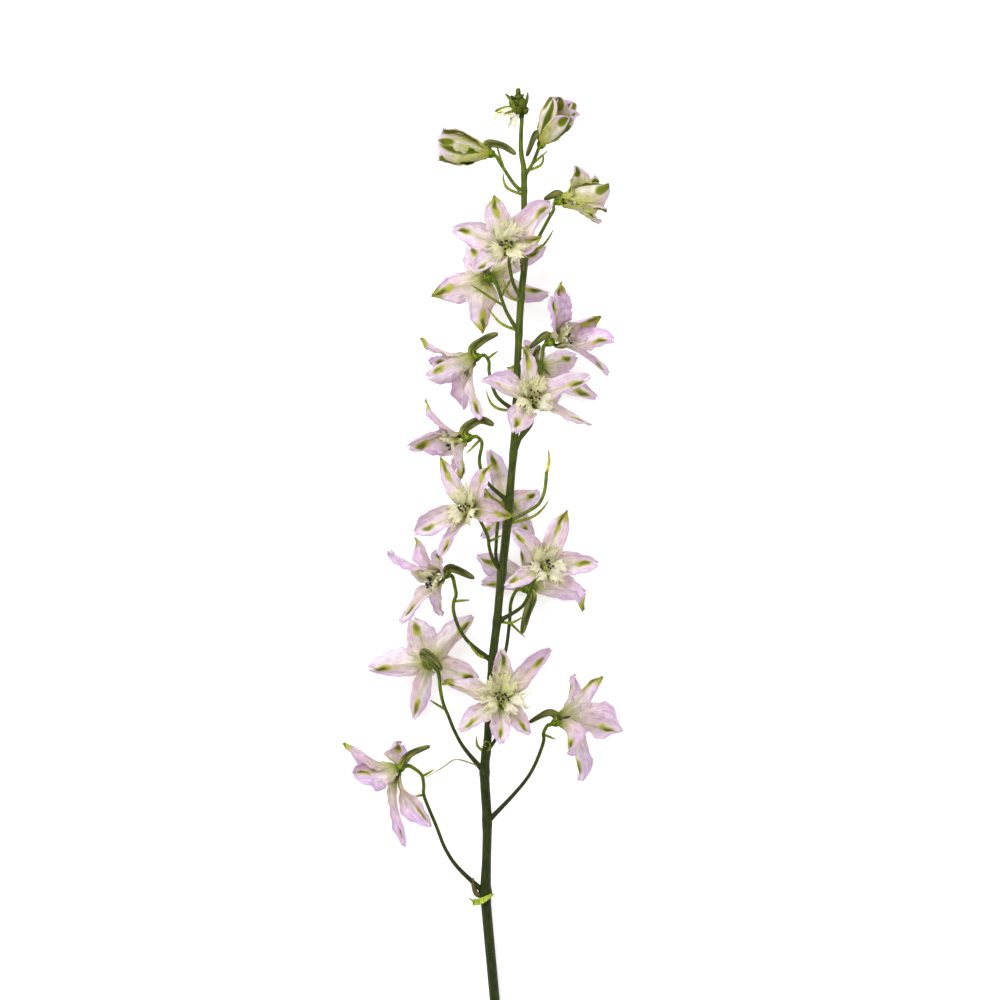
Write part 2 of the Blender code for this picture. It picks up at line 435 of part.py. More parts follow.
def sepal_rows(bloom, sepal):
    """Rows of one sepal, from inside the heart to its tip."""
    heart = Vector(bloom["heart"])
    facing = Vector(bloom["facing"]).normalized()
    tip_x, tip_y, lift, width, curl, roll = sepal
    flat = math.hypot(tip_x - heart.x, tip_y - heart.y)
    rise = lift * math.sqrt(max(SEPAL_REACH ** 2 - flat ** 2, 9.0))
    tip = Vector((tip_x, tip_y, max(heart.z + rise, 0.2)))
    chord = tip - heart
    radial = (chord - facing * chord.dot(facing)).normalized()
    side = facing.cross(radial).normalized()
    out = chord.normalized()
    closed = bloom["bee"] < BUD
    bow = out * 0.75 + (radial * 0.5 if closed else facing * 0.65)
    ending = (out - facing * curl).normalized()
    near = heart + bow.normalized() * chord.length * 0.36
    far = tip - ending * chord.length * 0.34
    root = heart + radial * ROOT_OUT
    middles = []
    for t in SEPAL_STEPS:
        s = 1.0 - t
        middle = root * s ** 3 + near * 3 * s * s * t + far * 3 * s * t * t + tip * t ** 3
        if t > 0.0:
            middle = clear_of_axis(middle, bloom)
        middles.append(middle)
    last = len(middles) - 1
    full_turn = math.radians(roll) + shown_turn(side, out.cross(side))
    rows = []
    for i, t in enumerate(SEPAL_STEPS):
        ahead = (middles[min(i + 1, last)] - middles[max(i - 1, 0)]).normalized()
        ahead = (ahead - side * ahead.dot(side)).normalized()
        normal = ahead.cross(side).normalized()
        turn = full_turn * ease(t)
        across = side * math.cos(turn) + normal * math.sin(turn)
        face = normal * math.cos(turn) - side * math.sin(turn)
        half = 0.5 * width * sepal_half_width(t, closed)
        room = half * abs(across.z) + BLADE * 0.5 - 0.08
        middle = middles[i]
        middle = Vector((middle.x, middle.y, max(middle.z, room)))
        raised = middle + face * (BUD_CUP if closed else SEPAL_CUP) * half
        rows.append(([raised - across * half, middle, raised + across * half], face))
    return rows


def paint(name, colour, roughness):
    """A plain material of one colour."""
    material = bpy.data.materials.new(name)
    material.use_nodes = True
    shader = material.node_tree.nodes["Principled BSDF"]
    shader.inputs["Base Color"].default_value = colour
    shader.inputs["Roughness"].default_value = roughness
    shader.inputs["Metallic"].default_value = 0.0
    return material


def finish(mesh, material):
    """Gives a mesh its material and smooth shading."""
    mesh.materials.clear()
    mesh.materials.append(material)
    mesh.shade_smooth()
    mesh.set_sharp_from_angle(angle=math.radians(SHARP_ANGLE))


def show(name, mesh, material):
    """One named object from one closed mesh."""
    finish(mesh, material)
    thing = bpy.data.objects.new(name, mesh)
    bpy.context.scene.collection.objects.link(thing)
    return thing


def joined(name, meshes, material):
    """One named object from closed meshes that run into each other."""
    group = bpy.data.collections.new(name + "_pieces")
    bpy.context.scene.collection.children.link(group)
    helpers = []
    for i, mesh in enumerate(meshes[1:]):
        helper = bpy.data.objects.new(f"{name}_piece_{i}", mesh)
        group.objects.link(helper)
        helpers.append(helper)
    whole = bpy.data.objects.new(name, meshes[0])
    bpy.context.scene.collection.objects.link(whole)
    union = whole.modifiers.new("union", "BOOLEAN")
    union.operation = "UNION"
    union.operand_type = "COLLECTION"
    union.solver = UNION_SOLVER
    union.collection = group
    view = bpy.context.evaluated_depsgraph_get()
    fused = bpy.data.meshes.new_from_object(whole.evaluated_get(view))
    whole.modifiers.remove(union)
    whole.data = fused
    fused.name = name
    for helper in helpers:
        bpy.data.objects.remove(helper)
    bpy.data.collections.remove(group)
    for mesh in meshes:
        bpy.data.meshes.remove(mesh)
    tidy(fused)
    finish(fused, material)
    return whole


def close_short_edges(bm):
    """Draws the two ends of each very short edge together, where that keeps the surface whole."""
    for _ in range(6):
        changed = False
        for edge in [e for e in bm.edges if e.calc_length() < SHORTEST_EDGE]:
            if not edge.is_valid:
                continue
            one, two = edge.verts
            near_one = {e.other_vert(one) for e in one.link_edges}
            near_two = {e.other_vert(two) for e in two.link_edges}
            if len(near_one & near_two) != 2 or len(edge.link_faces) != 2:
                continue
            bmesh.ops.pointmerge(bm, verts=[one, two], merge_co=(one.co + two.co) * 0.5)
            changed = True
        if not changed:
            return


def largest_body(bm):
    """Drops loose scraps."""
    seen, islands = set(), []
    for start in bm.verts:
        if start in seen:
            continue
        island, wait = [], [start]
        seen.add(start)
        while wait:
            vert = wait.pop()
            island.append(vert)
            for edge in vert.link_edges:
                other = edge.other_vert(vert)
                if other not in seen:
                    seen.add(other)
                    wait.append(other)
        islands.append(island)
    islands.sort(key=len)
    for island in islands[:-1]:
        bmesh.ops.delete(bm, geom=island, context="VERTS")


def tidy(mesh):
    """Takes out what a union leaves behind: very short edges and loose scraps."""
    bm = bmesh.new()
    bm.from_mesh(mesh)
    bmesh.ops.triangulate(bm, faces=bm.faces)
    close_short_edges(bm)
    largest_body(bm)
    bm.to_mesh(mesh)
    bm.free()


def stalk_path(bloom):
    """Middle points of a flower stalk, from a little short of the heart to inside the stem."""
    heart = Vector(bloom["heart"])
    facing = Vector(bloom["facing"]).normalized()
    ways = bloom["stalk"]
    root_height = stem_height(ways[-1][1])
    reach = [0.0]
    previous = heart.xy
    for x, y in ways:
        reach.append(reach[-1] + (Vector((x, y)) - previous).length)
        previous = Vector((x, y))
    points = []
    for (x, y), gone in zip(ways, reach[1:]):
        height = mix(heart.z - 2.0 * facing.z, root_height, gone / reach[-1])
        points.append(Vector((x, y, height)))
    toward = (points[0] - heart).normalized()
    approach = (toward * 0.7 - facing * 0.6).normalized()
    first = heart + approach * (HEART_RADIUS + GAP + 0.4)
    while (points[0] - heart).length < HEART_RADIUS + GAP + 1.2:
        points = points[1:]
    return [first, *points]


def stalk_tube(bloom):
    """A slender tube, a little thicker at both ends."""
    points = [tuple(p) for p in stalk_path(bloom)]
    points = curve_through(points, 2 if len(points) < 5 else 1)
    last = len(points) - 1
    path = []
    for i, p in enumerate(points):
        share = i / last
        radius = STALK_RADIUS + 0.2 * (1.0 - share) ** 6 + 0.25 * share ** 6
        path.append((*p, radius))
    return tube(bloom["name"] + "_stalk", path, THIN_SIDES)


def make_stem(material):
    """The stem with every stalk, bract and bracteole that grows from it."""
    meshes = [tube("axis", STEM, STEM_SIDES)]
    by_name = {bloom["name"]: bloom for bloom in BLOOMS}
    for bloom in BLOOMS:
        meshes.append(stalk_tube(bloom))
    for i, bract in enumerate(BRACTS):
        path = [(x, y, stem_height(y) + rise) for x, y, rise in bract]
        meshes.append(blade(f"bract_{i}", leaf_rows(path, BRACT_WIDTH), THIN_BLADE))
    for i, (name, share, (x, y, rise)) in enumerate(BRACTEOLES):
        path = stalk_path(by_name[name])
        place = (len(path) - 1) * (1.0 - share)
        k = min(int(place), len(path) - 2)
        root = path[k].lerp(path[k + 1], place - k)
        tip = Vector((x, y, root.z + rise))
        middle = root.lerp(tip, 0.5) + Vector((0.0, 0.0, 0.5))
        rows = leaf_rows([root, middle, tip], BRACTEOLE_WIDTH)
        meshes.append(blade(f"bracteole_{i}", rows, THIN_BLADE))
    meshes.append(tube("bare_stalk", [(*p, STALK_RADIUS) for p in BARE_STALK], THIN_SIDES))
    meshes.append(blade("bare_stalk_leaf", leaf_rows(BARE_STALK_LEAF, BRACT_WIDTH), THIN_BLADE))
    meshes.append(tube("dry_stub", [(*p, STUB_RADIUS) for p in DRY_STUB], THIN_SIDES))
    return joined("stem", meshes, material)


def spur_radius(full, share):
    """Radius of a spur at a share of its length: widest near its root, blunt at its tip."""
    if share < 0.25:
        return full * mix(0.62, 1.0, share / 0.25)
    return full * mix(1.0, 0.42, ((share - 0.25) / 0.75) ** 2.2)


def make_sepals(bloom, material):
    """The coloured sepals of one bloom with its spur and the heart they grow from."""
    heart = Vector(bloom["heart"])
    facing = Vector(bloom["facing"]).normalized()
    meshes = [ball("heart", heart, HEART_RADIUS, 1.0, facing)]
    for i, sepal in enumerate(bloom["sepals"]):
        meshes.append(blade(f"sepal_{i}", sepal_rows(bloom, sepal), BLADE))
    route = [tuple(heart), *((x, y, heart.z + rise) for x, y, rise in bloom["spur"])]
    path = curve_through(route, 2)
    last = len(path) - 1
    path = [(*p, spur_radius(bloom["spur_radius"], i / last)) for i, p in enumerate(path)]
    meshes.append(tube("spur", path, THIN_SIDES))
    return joined(bloom["name"] + "_sepals", meshes, material)


def make_bee(bloom, material):
    """The pale inner petals of one bloom, flaring round the raised stamens, on a short foot."""
    heart = Vector(bloom["heart"])
    facing = Vector(bloom["facing"]).normalized()
    size = bloom["bee"]
    up = Vector((0.0, 1.0, 0.0))
    up = (up - facing * up.dot(facing)).normalized()
    side = facing.cross(up).normalized()
    corners, faces = [], []
    for petal_ring, notch_ring in BEE_RINGS:
        for k in range(BEE_PETALS):
            middle = 2.0 * math.pi * (k + 0.5) / BEE_PETALS
            notch = 2.0 * math.pi * (k + 1.0) / BEE_PETALS
            for turn, (height, radius) in ((middle - HALF_PETAL, petal_ring),
                                           (middle + HALF_PETAL, petal_ring),
                                           (notch, notch_ring)):
                wide = radius * size * (flare(bloom) if radius > LOBE_RADIUS else 1.0)
                radial = up * math.cos(turn) + side * math.sin(turn)
                rise = HEART_RADIUS + (GAP if height == 0.0 else height * size)
                corners.append(heart + facing * rise + radial * wide)
    around = 3 * BEE_PETALS
    for i in range(len(BEE_RINGS) - 1):
        for k in range(around):
            a, b = i * around + k, i * around + (k + 1) % around
            faces += [(a, b, b + around), (a, b + around, a + around)]
    faces.append(tuple(range(around))[::-1])
    faces.append(tuple(range(len(corners) - around, len(corners))))
    mesh = mesh_from(bloom["name"] + "_bee", corners, faces)
    return show(bloom["name"] + "_bee", mesh, material)


def make_tip(material):
    """The crowd of green buds at the end of the stem."""
    meshes = [tube("core", TIP_CORE, STEM_SIDES)]
    for i, (x, y, z, radius) in enumerate(TIP_BUDS):
        meshes.append(ball(f"bud_{i}", (x, y, z), radius, BUD_STRETCH, BUD_WAY))
    for i, path in enumerate(TIP_BRACTS):
        meshes.append(blade(f"tip_bract_{i}", leaf_rows(path, TIP_BRACT_WIDTH), THIN_BLADE))
    meshes.append(tube("opening_bud", TIP_OPENING_BUD, STEM_SIDES))
    return joined("tip_buds", meshes, material)


def main():
    for thing in list(bpy.data.objects):
        bpy.data.objects.remove(thing)
    make_stem(paint("stem_green", LEAF_GREEN, 0.5))
    make_tip(paint("bud_green", BUD_GREEN, 0.55))
    lilac = paint("sepal_lilac", LILAC, 0.6)
    cream = paint("petal_cream", CREAM, 0.6)
    for bloom in BLOOMS:
        make_sepals(bloom, lilac)
        make_bee(bloom, cream)


main()
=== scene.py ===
"""The looks of a cut delphinium spike that lies on a pale floor, seen from straight above.

Places are in millimetres on the same drawing as the solids: the stem runs along +Y, +X is the
right of the spike and +Z is up. Each piece stands for one solid of the frame and keeps its form,
apart from the anthers, which are added.
"""

import math

import bpy
import numpy as np
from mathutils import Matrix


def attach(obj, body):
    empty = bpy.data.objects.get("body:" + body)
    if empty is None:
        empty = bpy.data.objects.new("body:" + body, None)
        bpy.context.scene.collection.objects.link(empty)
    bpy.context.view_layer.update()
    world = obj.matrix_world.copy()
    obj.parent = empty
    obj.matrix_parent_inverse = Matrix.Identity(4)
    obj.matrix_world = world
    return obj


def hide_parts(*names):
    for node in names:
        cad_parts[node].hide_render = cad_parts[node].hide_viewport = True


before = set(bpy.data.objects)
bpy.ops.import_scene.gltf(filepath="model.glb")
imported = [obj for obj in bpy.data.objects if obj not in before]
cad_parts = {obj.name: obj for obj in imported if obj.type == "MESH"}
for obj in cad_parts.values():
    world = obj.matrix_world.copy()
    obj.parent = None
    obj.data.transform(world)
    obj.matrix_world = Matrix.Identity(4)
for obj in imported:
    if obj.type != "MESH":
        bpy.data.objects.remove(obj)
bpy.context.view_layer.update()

MM = 0.001
# From the drawing to the frame, whose origin is under the middle of the spike
SHIFT = np.array([7.4, 28.0, 0.0])
PHOTO_SPAN = 400.0  # what the photograph's frame takes in at the blooms' height, mm
BLOOM_LEVEL = 25.0  # height at which PHOTO_SPAN holds, mm
LENS = 400.0
SENSOR = 36.0
FLOOR_REACH = 1.6  # from the middle of the floor to its edge, m
FLOOR_GLOW = 0.42  # light of the floor's own, which keeps shadows soft
ROOM_LIGHT = 0.88
LAMP_PLACE = (-0.5, 0.75, 1.1)
LAMP_TILT = (-33, -22, 0)
LAMP_SIZE = (0.7, 0.5)
LAMP_POWER = 13.0
TINY = 1e-9

# Forms that the solids have too
HEART_RADIUS = 2.1  # the swelling that carries the sepals, mm
SEPAL_REACH = 22.5  # straight distance from heart to tip of a full sepal, mm
SEPAL_CUP = 0.24  # how far a sepal's edges stand forward, as a share of its half width
BUD_CUP = 0.4  # the same in a bud, where the edges wrap round
SEPAL_SHOWN = 0.62  # least share of a sepal's width that is seen from above
ROOT_OUT = 0.9  # how far from the middle of the heart a sepal begins, mm
GAP = 0.4  # clear space between two solids, mm
LOOKS_UP = 0.6  # a bloom whose facing has at least this much of +Z looks upwards
BUD = 0.7  # an inner size up to this one is that of a flower that has only begun to open
SPUR_FULL = 0.25  # share of a spur's length at which it is thickest
SPUR_ROOT = 0.62  # its radius at the root and at the end, as shares of the full one
SPUR_END = 0.42
STALK_RADIUS = 0.7

# Forms that only the pieces here have
LOOKS_DOWN = -0.6  # a bloom whose facing has no more than this of +Z looks downwards
HALF_OPEN = 0.8  # an inner size under this one goes with the sepals of a bud
MOUTH_IN = 2.2  # how far a bud's tips lean in, mm
BUD_CALM = 0.35  # how strong the folds of a bud's sepals are, as a share
FLOOR_CLEAR = 0.12  # lowest that a thin piece may lie, mm
CEILING = 53.2  # highest that a hair may stand, mm
SEPAL_ROWS, SEPAL_COLS = 46, 25
PETAL_ROWS, PETAL_COLS = 18, 21
# Of each form of sepal: the claw's share of the width, the share of the length at which the body
# is full, how far the fullest part lies towards the tip, an exponent that blunts the tip where
# it is small, and the least width
SEPAL_FORMS = {"sharp": (0.2, 0.46, 1.12, 0.8, 0.07), "blunt": (0.2, 0.46, 1.34, 0.52, 0.16),
               "wide": (0.42, 0.36, 1.34, 0.5, 0.16), "bud": (0.4, 0.3, 1.6, 0.5, 0.16)}
SHARP_SHARE = 0.15  # how many of a bloom's later sepals end in a sharp tip
WIDEN = 1.16  # how much wider than the solid's a sepal is
# The same for single blooms
WIDER = {"bloom_18": 1.35, "bloom_19": 1.4, "bloom_09": 1.2, "bloom_03": 1.25}
# How much lilac a bloom carries between its veins, from 0 to 1
TONE = 0.12
TONES = {"bloom_01": 0.0, "bloom_02": 0.3, "bloom_03": 0.05, "bloom_06": 0.3, "bloom_10": 0.2,
         "bloom_17": 0.05, "bloom_19": 0.3}
PETAL_TURNS = (34, 128, 232, 326)  # of the inner petals, round the facing from the upper side
# Of an upper and a lower inner petal, for size 1: rise, droop, reach and half width, mm
UPPER_PETAL = (7.6, 0.0, 6.4, 2.7)
LOWER_PETAL = (7.4, 2.9, 7.4, 3.5)
PETAL_THICK = 0.2
HAIRS_A_PETAL = 34
HAIRY_ROWS = 8  # rows at the end of an inner petal that carry its hairs
HAIR_RADIUS = 0.06
STRIPS_A_PETAL = 7
# How far the fringes of the inner petals reach, where it isn't 1
FRINGES = {"bloom_16": 1.7, "bloom_04": 1.25, "bloom_15": 1.3}
CARPELS = 3
STAMENS, BUD_STAMENS = 11, 5
LEAF_STEPS, LEAF_COLS = 14, 5
LEAF_THICK = 0.28
STEM_SIDES, SPUR_SIDES, STALK_SIDES, THIN_SIDES = 36, 20, 12, 5
SMALL_BUDS = 26  # at the tip, round its core
TIP_HEIGHT = 30.4  # height of the stem's end, mm
STEM_SEED, TIP_SEED, SEPAL_SEED, BEE_SEED = 7, 11, 100, 500

# Colours, as shares of red, green and blue light
PALE = np.array([0.98, 0.94, 0.94])
LILAC = np.array([0.86, 0.67, 0.91])
# Mauve of painted shade, laid on folded halves and overlapped patches of the sepals
SHADE_MAUVE = np.array([0.76, 0.60, 0.63])
# Darker band along the sepals' margins: painted shade where the thin margins fold
RIM_SHADE = np.array([0.66, 0.45, 0.62])
STRAW = np.array([0.90, 0.88, 0.62])
BASE_GREEN = np.array([0.52, 0.57, 0.04])
HALO = np.array([0.55, 0.58, 0.04])
BLOTCH = np.array([0.12, 0.15, 0.006])
STRIPE = np.array([0.13, 0.18, 0.003])
CREAM = np.array([0.90, 0.88, 0.52])
BEE_BASE = np.array([0.58, 0.62, 0.16])
WHITE = np.array([0.98, 0.96, 0.87])
SPUR_OLIVE = np.array([0.075, 0.085, 0.02])
SPUR_LIGHT = np.array([0.19, 0.22, 0.04])
HEART_GREEN = np.array([0.085, 0.14, 0.003])
STEM_LOW = np.array([0.020, 0.030, 0.005])
STEM_HIGH = np.array([0.080, 0.118, 0.009])
BRACT_GREEN = np.array([0.19, 0.24, 0.02])
BOAT_GREEN = np.array([0.34, 0.44, 0.05])
LEAF_GOLD = np.array([0.55, 0.52, 0.08])
BUD_LIGHT = np.array([0.66, 0.70, 0.12])
BUD_GREEN = np.array([0.028, 0.044, 0.003])
DRY = np.array([0.34, 0.30, 0.16])
STUB_BROWN = np.array([0.09, 0.07, 0.03])
FILAMENT = np.array([0.72, 0.70, 0.42])
ANTHER = np.array([0.010, 0.007, 0.030])

# x, y, height of the middle and radius of the main stem, from the cut end to the tip, mm
STEM = [
    (-0.3, -220.0, 1.75, 1.95),
    (-2.2, -200.0, 3.6, 1.95),
    (-5.6, -162.4, 8.0, 2.0),
    (-5.8, -155.6, 9.0, 2.1),
    (-5.4, -143.2, 11.0, 1.8),
    (-5.2, -128.0, 13.5, 1.85),
    (-6.2, -109.2, 17.0, 1.85),
    (-5.0, -96.0, 19.0, 1.6),
    (-4.4, -86.0, 20.5, 1.6),
    (-2.8, -62.4, 23.5, 1.65),
    (-1.2, -48.8, 24.5, 1.6),
    (0.0, -35.6, 25.5, 1.6),
    (2.8, -10.4, 27.0, 1.7),
    (4.4, 8.0, 28.0, 1.5),
    (6.0, 27.6, 29.0, 1.45),
    (7.2, 59.2, 30.0, 1.4),
    (8.4, 80.8, 30.0, 1.35),
    (10.0, 97.6, 30.0, 1.3),
    (9.6, 119.2, 30.0, 1.2),
    (9.6, 131.2, 30.0, 1.1),
    (8.6, 137.6, 30.0, 0.95),
    (8.3, 143.6, 30.2, 0.85),
    (8.7, 152.0, 30.4, 0.8),
]
STEM_TOP = (8.5, 153.4, 30.4, 0.8)  # its end, hidden among the tip's buds
BARE_NODES = [-9.0, -158.0]  # y of the nodes that carry no flower

